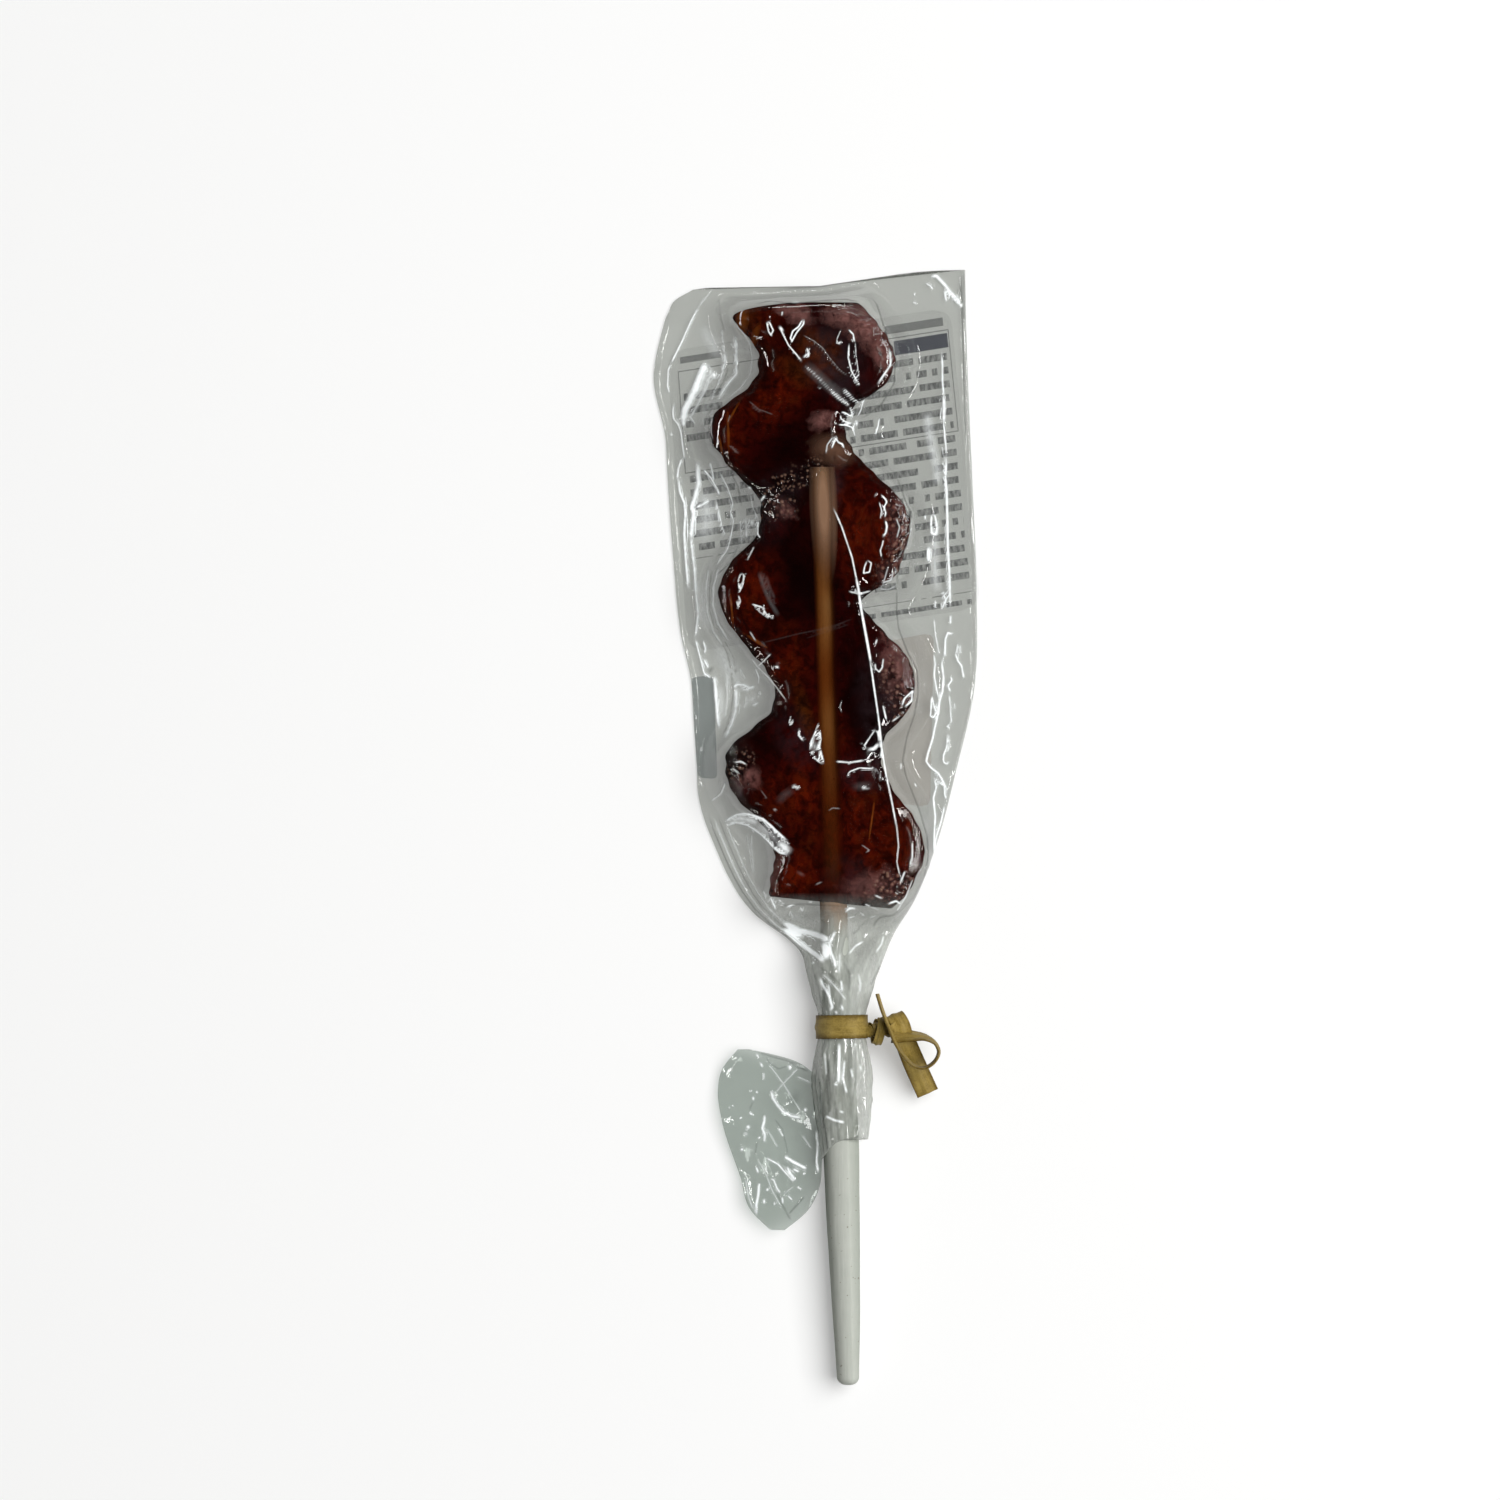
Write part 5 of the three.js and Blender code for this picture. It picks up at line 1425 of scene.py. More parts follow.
# Painted highlights and painted shade lines along the creases of the neck and sleeve.
NECK_CREASES = drawn(
    (1.6, 0.6, -5.9, -16.0, -4.2, -16.8, -2.7, -17.5, -0.8, -17.9, 0.6, -18.3, 2.2, -19.1),
    (1.6, 0.5, -5.9, -16.9, -4.2, -18.3, -3.1, -19.3, -1.6, -20.4, 0.0, -21.5, 1.3, -22.6),
    (2.0, 1.0, -5.6, -16.4, -3.6, -17.6, -2.0, -18.8), (2.0, 0.8, 0.9, -18.8, 1.5, -20.4, 1.3, -22.4),
    (1.0, 0.34, 3.0, -17.3, 2.6, -18.2, 2.0, -19.4, 2.2, -20.8, 2.8, -22.3, 3.1, -23.6),
    (1.2, 0.34, -0.85, -22.55, -0.55, -22.85),
    (1.0, 0.34, 0.4, -25.0, 0.9, -26.3, 2.0, -28.2, 2.2, -29.1, 2.5, -30.0, 2.0, -30.7),
    (0.7, 0.28, 1.8, -26.0, 2.1, -28.3), (0.55, 0.24, 0.7, -24.4, 2.0, -25.5, 3.5, -27.2, 4.8, -28.9),
    (0.9, 0.28, 3.9, -25.4, 4.1, -27.5), (0.9, 0.3, 3.9, -29.4, 4.3, -30.7),
    (1.1, 0.4, 2.8, -31.0, 3.4, -30.7), (0.45, 0.26, 3.7, -21.0, 3.6, -24.4),
    (0.75, 0.26, 5.2, -21.3, 6.3, -20.0, 7.7, -19.2), (0.55, 0.26, 9.7, -21.1, 10.7, -19.7, 11.1, -18.2),
    (0.5, 0.26, 6.8, -24.4, 7.1, -26.1, 7.0, -27.7),
    (-0.3, 0.26, 5.4, -18.0, 6.6, -17.6, 7.4, -16.4, 8.3, -16.0),
    (-0.4, 0.3, 8.8, -26.5, 9.8, -24.6, 10.5, -23.0),
    (-0.5, 0.28, 13.9, -14.0, 12.4, -14.8, 10.5, -15.1, 9.6, -16.1, 9.3, -16.9),
    (-0.45, 0.3, -11.6, -13.4, -8.0, -17.0, -3.9, -19.8, -1.4, -22.6),
    (-0.35, 0.3, 0.2, -23.2, 2.6, -25.0, 4.2, -26.6), (-0.3, 0.3, 4.4, -22.6, 5.4, -24.6, 5.2, -27.6),
    (-0.4, 0.34, -0.6, -24.2, 0.2, -26.6, 0.6, -30.4), (1.1, 0.36, 3.6, -35.8, 3.6, -38.2, 3.5, -42.7),
    (0.95, 0.28, 4.5, -38.6, 4.2, -41.8, 4.9, -44.3), (0.9, 0.3, 2.6, -42.6, 3.5, -42.9),
    (0.7, 0.28, 5.5, -40.0, 5.9, -41.8), (0.7, 0.28, 7.0, -39.4, 7.3, -40.7),
    (0.8, 0.36, 6.2, -36.0, 6.4, -36.5), (0.8, 0.3, 3.5, -47.1, 4.5, -47.5),
    (1.0, 0.32, 1.3, -48.0, 2.8, -48.7, 4.6, -49.1), (0.45, 0.26, 1.2, -37.4, 1.5, -41.3),
    (-0.35, 0.3, 1.4, -36.4, 1.9, -41.0, 2.3, -46.0), (-0.3, 0.3, 6.2, -36.4, 6.4, -41.0, 5.8, -46.0),
    (-0.3, 0.4, -0.2, -40.0, 0.6, -44.0, 0.4, -48.4),
)
# Painted highlights and painted shade lines along the creases of the wing.
WING_CREASES = drawn(
    (0.85, 0.28, -10.2, -37.8, -9.6, -38.7), (0.95, 0.3, -9.5, -39.2, -9.0, -40.3),
    (0.6, 0.28, -8.9, -40.8, -8.9, -42.4), (1.1, 0.34, -4.6, -39.6, -4.5, -40.7),
    (0.4, 0.22, -8.3, -39.3, -5.7, -42.7, -2.5, -47.8), (0.35, 0.22, -3.1, -40.2, -5.7, -42.9, -6.9, -44.4),
    (0.3, 0.22, -3.4, -41.6, -1.0, -42.7),
    (1.0, 0.34, -7.7, -43.8, -7.4, -45.2, -6.7, -46.3, -5.7, -47.5, -4.4, -48.2, -2.5, -48.5),
    (1.0, 0.3, -2.0, -46.7, -2.0, -47.6), (1.0, 0.3, -11.1, -44.0, -10.8, -44.2),
    (1.1, 0.32, -10.2, -44.4, -9.8, -44.2), (1.0, 0.28, -10.6, -44.9, -10.6, -45.8),
    (0.9, 0.28, -14.7, -47.0, -14.5, -46.8), (0.9, 0.28, -14.1, -46.7, -13.9, -46.5),
    (1.0, 0.28, -11.4, -47.6, -10.5, -48.2), (1.0, 0.3, -12.8, -48.4, -12.6, -48.8),
    (1.1, 0.42, -11.8, -49.8, -11.1, -50.4), (0.4, 0.5, -12.5, -51.1, -11.3, -51.4),
    (1.0, 0.32, -8.7, -48.0, -8.8, -49.2, -9.1, -50.3, -8.7, -51.3, -8.8, -52.7),
    (0.8, 0.28, -9.9, -52.1, -9.3, -51.6), (0.65, 0.24, -6.6, -50.1, -5.5, -51.8),
    (0.3, 0.22, -8.4, -50.3, -6.5, -53.5), (1.1, 0.4, -12.8, -53.6, -12.2, -54.1),
    (0.85, 0.28, -8.6, -55.1, -6.5, -56.2, -5.0, -57.9, -3.8, -59.2),
    (1.1, 0.36, -5.6, -54.8, -4.0, -55.8, -1.6, -57.0), (1.1, 0.34, -5.1, -56.4, -4.5, -57.7, -3.5, -59.0),
    (1.0, 0.3, -4.2, -56.9, -2.8, -57.5), (1.1, 0.32, -2.4, -57.6, -2.0, -57.9),
    (1.0, 0.3, -10.2, -56.5, -9.7, -57.9),
    (1.0, 0.32, -9.6, -59.2, -9.8, -61.5, -10.1, -63.0, -10.1, -64.8),
    (0.5, 0.26, -11.9, -58.6, -11.4, -61.7, -10.6, -63.9), (1.0, 0.3, -8.8, -61.9, -8.8, -63.0),
    (0.7, 0.28, -7.1, -62.4, -7.1, -63.2), (1.1, 0.34, -8.5, -60.3, -8.0, -60.7),
    (0.85, 0.28, -7.9, -58.6, -7.2, -58.9, -6.7, -60.2, -6.0, -61.2),
    (0.35, 0.22, -10.2, -54.9, -8.6, -57.7, -7.4, -60.8, -5.7, -63.8),
    (0.85, 0.26, -5.8, -61.5, -5.7, -63.0), (0.8, 0.24, -5.0, -61.3, -4.0, -62.3),
    (0.8, 0.24, -3.5, -59.9, -2.4, -60.4), (0.3, 0.22, -5.7, -61.3, -3.8, -59.8),
    (0.85, 0.28, -0.2, -50.3, 0.1, -53.0, -0.1, -55.6, 0.2, -57.8), (0.3, 0.22, -2.6, -51.3, -0.9, -53.7),
    (-0.3, 2.0, -5.2, -44.6, -2.4, -45.9), (-0.3, 1.0, -0.2, -48.6, -0.4, -51.4, 0.0, -57.4),
    (-0.45, 0.34, -9.9, -37.6, -8.4, -38.1, -5.0, -39.0, -1.2, -41.0),
    (-0.3, 0.24, -8.3, -38.3, -8.2, -39.2, -6.4, -40.4, -4.9, -39.9),
    (-0.45, 0.28, -4.8, -64.6, -2.1, -61.5), (-0.4, 0.28, -6.9, -60.8, -4.4, -65.6),
    (-0.4, 0.28, -4.8, -64.6, -4.4, -65.6), (-0.25, 0.24, -10.6, -45.8, -11.3, -47.4),
    (-0.25, 0.24, -7.2, -48.6, -5.8, -50.4, -4.8, -54.6), (-0.25, 0.24, -10.0, -52.4, -10.3, -54.8),
)


@dataclass
class Bag:
    """Film bag: pouch over the candy, gathered neck and sleeve."""

    candy: Candy
    stick: Stick
    left_edge: Stops = (
        (-24.4, -1.4), (-21.5, -2.2), (-19.2, -4.9), (-16.7, -8.3), (-13.2, -11.8), (-8.8, -14.6),
        (-3.7, -16.9), (1.1, -18.8), (5.3, -19.8), (9.5, -20.0), (17.9, -20.6), (24.2, -21.0),
        (31.5, -22.6), (45.1, -24.0), (60.1, -25.0), (64.1, -25.2), (75.4, -27.2), (81.4, -26.1),
        (85.8, -24.7), (88.0, -23.3), (89.4, -20.6),
    )
    right_edge: Stops = (
        (-24.4, 10.3), (-18.4, 12.7), (-12.4, 16.3), (-4.4, 19.5), (9.6, 23.3), (22.6, 26.2),
        (39.6, 26.6), (57.6, 25.9), (83.5, 24.8), (89.4, 24.7),
    )
    top_edge: Stops = (
        (-28.0, 89.2), (-20.6, 89.3), (-17.5, 89.6), (-14.5, 88.9), (-11.0, 88.6), (-7.8, 88.8), (-1.2, 89.1),
        (2.2, 89.5), (5.5, 90.2), (10.5, 91.3), (15.5, 92.1), (24.7, 92.6), (28.0, 92.7),
    )
    crease: Stops = (
        (-14.0, 13.4), (-7.9, 13.3), (-3.75, 13.2), (3.15, 12.6), (9.25, 11.25), (14.6, 10.5), (22.2, 9.5),
        (29.9, 8.16), (37.6, 6.66), (42.9, 5.9), (49.1, 4.16), (52.7, 2.47), (60.0, 0.5), (93.0, -2.0),
    )
    high_end: float = 89.4
    top_from: float = 60.0
    lip: float = 0.45
    back: float = 0.12
    cover: float = 0.12
    pitch: float = 0.5
    stand_off: float = 2.4
    stand_ways: Stops = (
        (0.0, 0.0), (1.0, 0.0), (-1.0, 0.0), (0.0, 1.0), (0.0, -1.0),
        (0.7, 0.7), (0.7, -0.7), (-0.7, 0.7), (-0.7, -0.7),
    )
    pull_down: float = 0.7
    rounds: int = 900
    neck: Stops = (
        (-53.0, 3.7, 3.3), (-50.0, 4.1, 3.5), (-46.0, 4.75, 4.0), (-42.0, 4.95, 4.1), (-37.0, 4.3, 3.5),
        (-35.5, 3.95, 3.3), (-31.2, 3.95, 3.3), (-29.0, 4.6, 3.7), (-25.0, 5.7, 4.0), (-20.0, 7.5, 4.5),
    )
    neck_x: float = 4.08
    neck_from: float = -14.4
    neck_to: float = -27.0
    mouth_y: float = -52.0
    mouth_slant: float = 3.4
    margin_columns: int = 42
    left_columns: int = 52
    right_columns: int = 38
    back_columns: int = 24
    rows: int = 492
    # painted highlights and painted shade lines beside the lower left edge, as inset and whiteness
    hem_creases: Stops = ((0.9, -0.5), (1.7, 0.35), (2.5, -0.4), (3.4, 0.3))
    hem_from: float = -19.0
    hem_to: float = 2.0
    hem_width: float = 0.24
    hem_points: int = 9
    haze_stops: Stops = (
        (-60.0, 0.42), (-50.0, 0.5), (-36.0, 0.52), (-30.0, 0.55), (-22.0, 0.5), (-15.5, 0.3), (-11.0, 0.0),
        (95.0, 0.0),
    )
    pinches: Stops = (
        (5.3, 67.0, 0.9), (7.6, 37.0, 0.8), (10.2, 12.4, 0.7), (-10.0, 21.5, 0.5), (-8.8, 51.5, 0.4),
    )
    pinch_width: float = 1.8
    pinch_depth: float = 0.8
    fan_folds: float = 7.0
    fan_reach: float = 5.0
    fan_root: float = 1.5
    fan_height: float = 0.3
    fan_waver: Pair = (0.15, 7.0)
    wave: float = 0.05
    wave_length: float = 11.0
    pleats: Pair = (11.0, 23.0)
    pleat_shares: Pair = (0.6, 0.4)
    pleat_depth: float = 0.04
    wander: Pair = (0.05, 0.03)
    wander_length: float = 5.0
    sag: float = 0.5
    sag_length: float = 5.0
    sag_span: Pair = (36.0, 42.0)
    slant_from: float = 44.0
    bend: float = 0.5
    bend_span: Pair = (42.0, 53.0)
    sleeve_radius: float = 4.0
    seal: float = 1.5
    edge_columns: float = 3.0
    raster_box: Box = (-29.0, -30.0, 29.0, 94.0)
    stick_bears: float = 10.0
    rim_room: float = 0.8
    edge_room: float = 1.2
    far_room: float = 4.0
    crease_room: Pair = (1.0, 0.6)
    candy_gap: float = 0.08
    sheet_gap: float = 0.1
    seal_gap: float = 0.05
    back_wave: Pair = (0.04, 12.0)
    least: float = 0.02
    closing: tuple[float, ...] = (0.06, 0.5, 0.9)
    closing_room: float = 1.5

    def settled(self) -> tuple[Array, Array, Array]:
        """Film pulled down over the candy and stick.

        Each place inside the outline takes the mean of its four neighbours less a steady pull, but
        never sinks below the candy, the stick or the lip of the two sheets.

        Returns:
            The raster's x and y places and its heights.
        """
        west, south, east, north = self.raster_box
        x = np.arange(west, east + self.pitch / 2, self.pitch)
        y = np.arange(south, north + self.pitch / 2, self.pitch)
        wide, long = np.meshgrid(x, y)
        axis = self.stick.axis(long)
        aside = np.clip(np.abs(wide - axis[..., 0]) / self.stick.radius, 0.0, 1.0)
        over = axis[..., 2] + self.stick.radius * np.sqrt(1.0 - aside**2)
        over = np.where((aside < 1.0) & (long < self.stick_bears), over, 0.0)
        crown = self.candy.top(wide, long)
        ways = np.round(self.stand_off * np.asarray(self.stand_ways)).astype(int)
        crown = np.maximum.reduce([np.roll(crown, tuple(way), axis=(0, 1)) for way in ways])
        floor = np.maximum(np.maximum(crown, over) + self.cover, self.lip)
        left, right = self.outline(long)
        within = (wide > left) & (wide < right) & (long < curve_through(self.top_edge, wide))
        floor = np.where(within, floor, self.lip)
        film = floor.copy()
        sink = self.pull_down * self.pitch**2 / 4.0
        for _ in range(self.rounds):
            around = np.pad(film, 1, mode="edge")
            mean = (around[1:-1, :-2] + around[1:-1, 2:] + around[:-2, 1:-1] + around[2:, 1:-1]) / 4.0
            film = np.where(within, np.maximum(floor, mean - sink), floor)
        return x, y, film

    def outline(self, y: Array) -> tuple[Array, Array]:
        """Left and right edge of the two sheets at each y."""
        held = np.minimum(y, self.high_end)
        return curve_through(self.left_edge, held), curve_through(self.right_edge, held)

    def lifted(self, x: Array, y: Array) -> Array:
        """Rows drawn out towards the top, so that the last one follows the top edge."""
        return y + (curve_through(self.top_edge, x) - self.high_end) * ease(y, self.top_from, self.high_end)

    def sampled(self, raster: tuple[Array, Array, Array], x: Array, y: Array) -> Array:
        """Heights of a raster between its places, by straight blends along both axes.

        Args:
            raster: Places and heights.
            x: Places asked for along X.
            y: Places asked for along Y.

        Returns:
            The heights.
        """
        across = np.clip((x - raster[0][0]) / self.pitch, 0.0, len(raster[0]) - 1.001)
        along = np.clip((y - raster[1][0]) / self.pitch, 0.0, len(raster[1]) - 1.001)
        column, row = across.astype(int), along.astype(int)
        film = raster[2]
        low = blend(film[row, column], film[row, column + 1], across - column)
        high = blend(film[row + 1, column], film[row + 1, column + 1], across - column)
        return blend(low, high, along - row)

    def columns(self, y: Array) -> Array:
        """Columns from the left edge by the candy's edges and the long crease to the right edge.

        Args:
            y: Places of the rows.

        Returns:
            x of each row and column.
        """
        left, right = self.outline(y)
        candy_left, candy_right, _ = self.candy.profile(np.clip(y, self.candy.low_end, self.candy.high_end))
        near = np.clip(candy_left - self.rim_room, left + self.edge_room, right - self.far_room)
        far = np.clip(candy_right + self.rim_room, left + self.far_room, right - self.edge_room)
        crease = curve_through(self.crease, np.maximum(y, self.crease[0][0]))
        crease = np.clip(crease, near + self.crease_room[0], far - self.crease_room[1])
        spans = (
            (left, near, self.margin_columns), (near, crease, self.left_columns),
            (crease, far, self.right_columns), (far, right, self.margin_columns + 1),
        )
        parts = [
            blend(start[:, None], end[:, None], np.linspace(0.0, 1.0, count, endpoint=index == 3)[None, :])
            for index, (start, end, count) in enumerate(spans)
        ]
        return np.concatenate(parts, axis=1)

    def creases(self) -> list[FoldLine]:
        """All creases of the front sheet, with those that run beside its lower left edge."""
        y = np.linspace(self.hem_from, self.hem_to, self.hem_points)
        left, _ = self.outline(y)
        lines = [*MARGIN_CREASES, *CANDY_CREASES, *NECK_CREASES]
        for inset, white in self.hem_creases:
            lines.append(FoldLine(tuple(zip(left + inset, y)), white, self.hem_width))
        return lines

    def pinched(self, x: Array, y: Array) -> Array:
        """Rise of the low waves in the film and of the fans of folds about the roots of the candy's waves."""
        rise = self.wave * ripple(x, y, self.wave_length, Seed.FILM)
        waver, waver_length = self.fan_waver
        waver = waver * ripple(x, y, waver_length, Seed.FANS)
        for middle_x, middle_y, strength in self.pinches:
            reach = np.hypot(x - middle_x, y - middle_y)
            turn = np.arctan2(y - middle_y, x - middle_x) / TURN
            fan = fold(self.fan_folds * turn + waver) * bell(reach, self.fan_reach)
            fan = fan * reach / (reach + self.fan_root)
            dent = self.pinch_depth * bell(reach, self.pinch_width)
            rise = rise + strength * (self.fan_height * fan - dent)
        return rise

    def neck_ring(self, y: Array, turn: Array) -> Array:
        """Gathered film round the stick: an oval whose reach is pleated by sharp folds that wander along it.

        Args:
            y: Places along the neck.
            turn: Turn round it, 0 on its right side.

        Returns:
            The points.
        """
        wide, high = (curve_through(self.neck, y, column) for column in (1, 2))
        sway, climb = self.wander
        drift = sway * np.sin(y / self.wander_length) + climb * y / self.wander_length
        wide_folds, fine_folds = self.pleats
        wide_share, fine_share = self.pleat_shares
        pleat = wide_share * fold(wide_folds * (turn / TURN + drift))
        pleat = pleat + fine_share * fold(fine_folds * turn / TURN - 2.0 * drift)
        sag = self.sag * crumple(turn * self.sleeve_radius, y, self.sag_length, Seed.SLEEVE)
        sag = sag * ease(-y, *self.sag_span)
        reach = 1.0 + self.pleat_depth * pleat + self.pleat_depth * sag
        centre = self.stick.axis(y)[..., 2]
        slant = self.mouth_slant * np.maximum(-np.cos(turn), 0.0) ** 2
        slant = slant * ease(-y, self.slant_from, -self.mouth_y)
        return np.stack((
            self.neck_x + self.bend * ease(-y, *self.bend_span) + wide * reach * np.cos(turn),
            y - slant,
            centre + high * reach * np.sin(turn),
        ), axis=-1)

    def front(self, y: Array) -> tuple[Array, dict[str, Array]]:
        """Front sheet over the candy, gathered into the neck.

        Args:
            y: Places of the rows.

        Returns:
            Its points in rows and columns, and the marks for its finish.
        """
        x = self.columns(y)
        rows = self.lifted(x, np.broadcast_to(y[:, None], x.shape))
        order = np.broadcast_to(np.arange(x.shape[1])[None, :], x.shape).astype(float)
        lines = self.creases()
        _, swell = creased(lines, x, rows)
        film = self.sampled(self.settled(), x, rows) + self.pinched(x, rows) + swell
        least = np.maximum(self.candy.top(x, rows) + self.candy_gap, self.back + self.sheet_gap)
        film = np.maximum(film, least)
        seal = ease(y, self.high_end - self.seal, self.high_end)[:, None]
        edge = np.clip(np.minimum(order, x.shape[1] - 1 - order) / self.edge_columns, 0.0, 1.0)
        film = blend(film, self.back + self.seal_gap, np.maximum(seal, 1.0 - edge))
        sheet = np.stack((x, rows, film), axis=-1)
        turn = math.pi * (1.0 - order / (x.shape[1] - 1))
        gather = ease(rows, self.neck_to, self.neck_from)[..., None]
        sheet = blend(self.neck_ring(rows, turn), sheet, gather)
        marks, _ = creased(lines, sheet[..., 0], sheet[..., 1])
        marks["film_haze"] = curve_through(self.haze_stops, sheet[..., 1])
        marks["film_crinkle"] = self.candy.crinkle(x, rows)
        return sheet, marks

    def back_sheet(self, y: Array) -> Array:
        """Flat back sheet from the right edge to the left one, gathered into the neck.

        Args:
            y: Places of the rows.

        Returns:
            Its points in rows and columns.
        """
        part = np.linspace(0.0, 1.0, self.back_columns)[None, :]
        left, right = (size[:, None] for size in self.outline(y))
        x = blend(right, left, part)
        rows = self.lifted(x, np.broadcast_to(y[:, None], x.shape))
        wave, wave_length = self.back_wave
        height = np.maximum(self.back + wave * ripple(x, rows, wave_length, Seed.BACK), self.least)
        gather = ease(rows, self.neck_to, self.neck_from)[..., None]
        sheet = np.stack((x, rows, height), axis=-1)
        return blend(self.neck_ring(rows, -math.pi * part + 0.0 * rows), sheet, gather)

    def pouch(self) -> Skin:
        """Front and back sheet as rings along the bag, shut at the seal and drawn in at the mouth.

        Returns:
            The closed skin.
        """
        y = np.linspace(self.mouth_y, self.high_end, self.rows)
        front, marks = self.front(y)
        grid = np.concatenate((front, self.back_sheet(y)), axis=1)
        axis = self.stick.axis(np.array([self.mouth_y + self.closing_room]))[0]
        closing = [blend(axis, grid[0], part)[None] for part in self.closing]
        grid = np.concatenate((*closing, grid))
        skin = Skin.tube(grid)
        for mark, numbers in marks.items():
            whole = np.zeros(grid.shape[:2])
            whole[len(closing):, :front.shape[1]] = numbers
            skin.marks[mark] = np.append(whole.ravel(), np.zeros(len(skin.points) - whole.size))
        return skin.outward()

    def build(self, finish: Material) -> None:
        """Makes the pouch with its neck from film."""
        mount(self.pouch().build("film_bag"), finish, "bag")


@dataclass
class Wing:
    """Loose wing of film below the tie: two crumpled sheets joined round their edge."""

    left_edge: Stops = (
        (-67.2, -7.8), (-64.4, -10.7), (-58.4, -12.8), (-48.4, -16.0), (-44.0, -16.5), (-40.4, -15.7),
        (-37.2, -13.2),
    )
    right_edge: Stops = (
        (-67.2, -5.4), (-64.4, -2.0), (-60.2, 0.3), (-56.0, 0.8), (-46.0, 0.8), (-41.1, -0.6), (-38.4, -5.8),
        (-37.2, -11.2),
    )
    root_z: float = 4.4
    tip_z: float = 1.5
    tip_x: float = -16.5
    reach: float = 17.0
    apart: float = 0.5
    rim_share: float = 8.0
    end_reach: float = 2.0
    calm: Pair = (-12.0, -8.0)
    wave: float = 0.3
    crumples: Stops = ((0.3, 16.0), (0.12, 7.0), (0.3, 18.0))
    own_share: float = 0.6
    least: float = 0.3
    columns: int = 100
    rows: int = 150

    def sheet(self, seed: int, lift: float) -> Array:
        """One of the two sheets: a slope from the sleeve to the tip with sharp creases.

        Args:
            seed: Number that picks the creases.
            lift: Height above the middle of the wing.

        Returns:
            Its points in rows and columns.
        """
        y = np.linspace(self.left_edge[0][0], self.left_edge[-1][0], self.rows)[:, None]
        part = np.linspace(0.0, 1.0, self.columns)[None, :]
        x = blend(curve_through(self.left_edge, y), curve_through(self.right_edge, y), part)
        rows = np.broadcast_to(y, x.shape)
        slope = blend(self.tip_z, self.root_z, np.clip((x - self.tip_x) / self.reach, 0.0, 1.0))
        rim = np.minimum(np.minimum(part, 1.0 - part) * self.rim_share, 1.0)
        ends = np.minimum(np.minimum(rows - rows[0, 0], rows[-1, 0] - rows) / self.end_reach, 1.0)
        inner = ease(x, *self.calm)
        (broad, broad_length), (fine, fine_length), (deep, deep_length) = self.crumples
        creases = broad * crumple(x, rows, broad_length, seed)
        creases = creases + fine * inner * crumple(x, rows, fine_length, seed + 1)
        shared = self.wave * np.sin(0.5 * rows + 0.35 * x)
        shared = shared + deep * inner * crumple(x, rows, deep_length, Seed.WING)
        height = slope + shared + (lift + creases * self.own_share) * rim * ends
        return np.stack((x, rows, np.maximum(height, self.least)), axis=-1)

    def build(self, finish: Material) -> None:
        """Makes the wing from its two sheets, which meet round the edge.

        Args:
            finish: The film.
        """
        upper = self.sheet(Seed.UPPER_SHEET, self.apart)
        lower = self.sheet(Seed.LOWER_SHEET, -self.apart)
        grid = np.concatenate((upper, lower[:, ::-1]), axis=1)
        skin = Skin.tube(grid, shut=(False, False))
        first = np.arange(grid.shape[1])
        last = (grid.shape[0] - 1) * grid.shape[1] + first
        skin = skin.zip_shut(last).zip_shut(first[::-1])
        marks, _ = creased(WING_CREASES, upper[..., 0], upper[..., 1])
        for mark, numbers in marks.items():
            skin.marks[mark] = np.concatenate((numbers, 0.0 * numbers), axis=1).ravel()
        mount(skin.outward().build("film_wing"), finish)


@dataclass
class Label:
    """Clear label on the far side of the bag, with rounded corners, given from the low left one round."""

    name: str
    corners: Stops
    size: Pair
    corner_round: float = 3.0
    height: float = 0.03
    steps: int = 70

    def build(self, finish: Material) -> None:
        """Makes the label: rows that shorten by an arc near its corners, carried into its four-sided outline.

        Args:
            finish: The clear label.
        """
        wide, high = self.size
        v = np.linspace(0.0, 1.0, self.steps)[:, None] * high
        near = np.maximum(self.corner_round - np.minimum(v, high - v), 0.0)
        inset = self.corner_round - np.sqrt(self.corner_round**2 - near**2)
        u = blend(inset, wide - inset, np.linspace(0.0, 1.0, self.steps)[None, :])
        v = np.broadcast_to(v, u.shape)
        low_left, low_right, high_right, high_left = (np.array(corner) for corner in self.corners)
        across, along = (u / wide)[..., None], (v / high)[..., None]
        flat = blend(blend(low_left, low_right, across), blend(high_left, high_right, across), along)
        grid = np.concatenate((flat, np.full((*u.shape, 1), self.height)), axis=-1)
        piece = Skin.sheet(grid, np.stack((u, v), axis=-1)).build(self.name)
        mount(piece, finish)


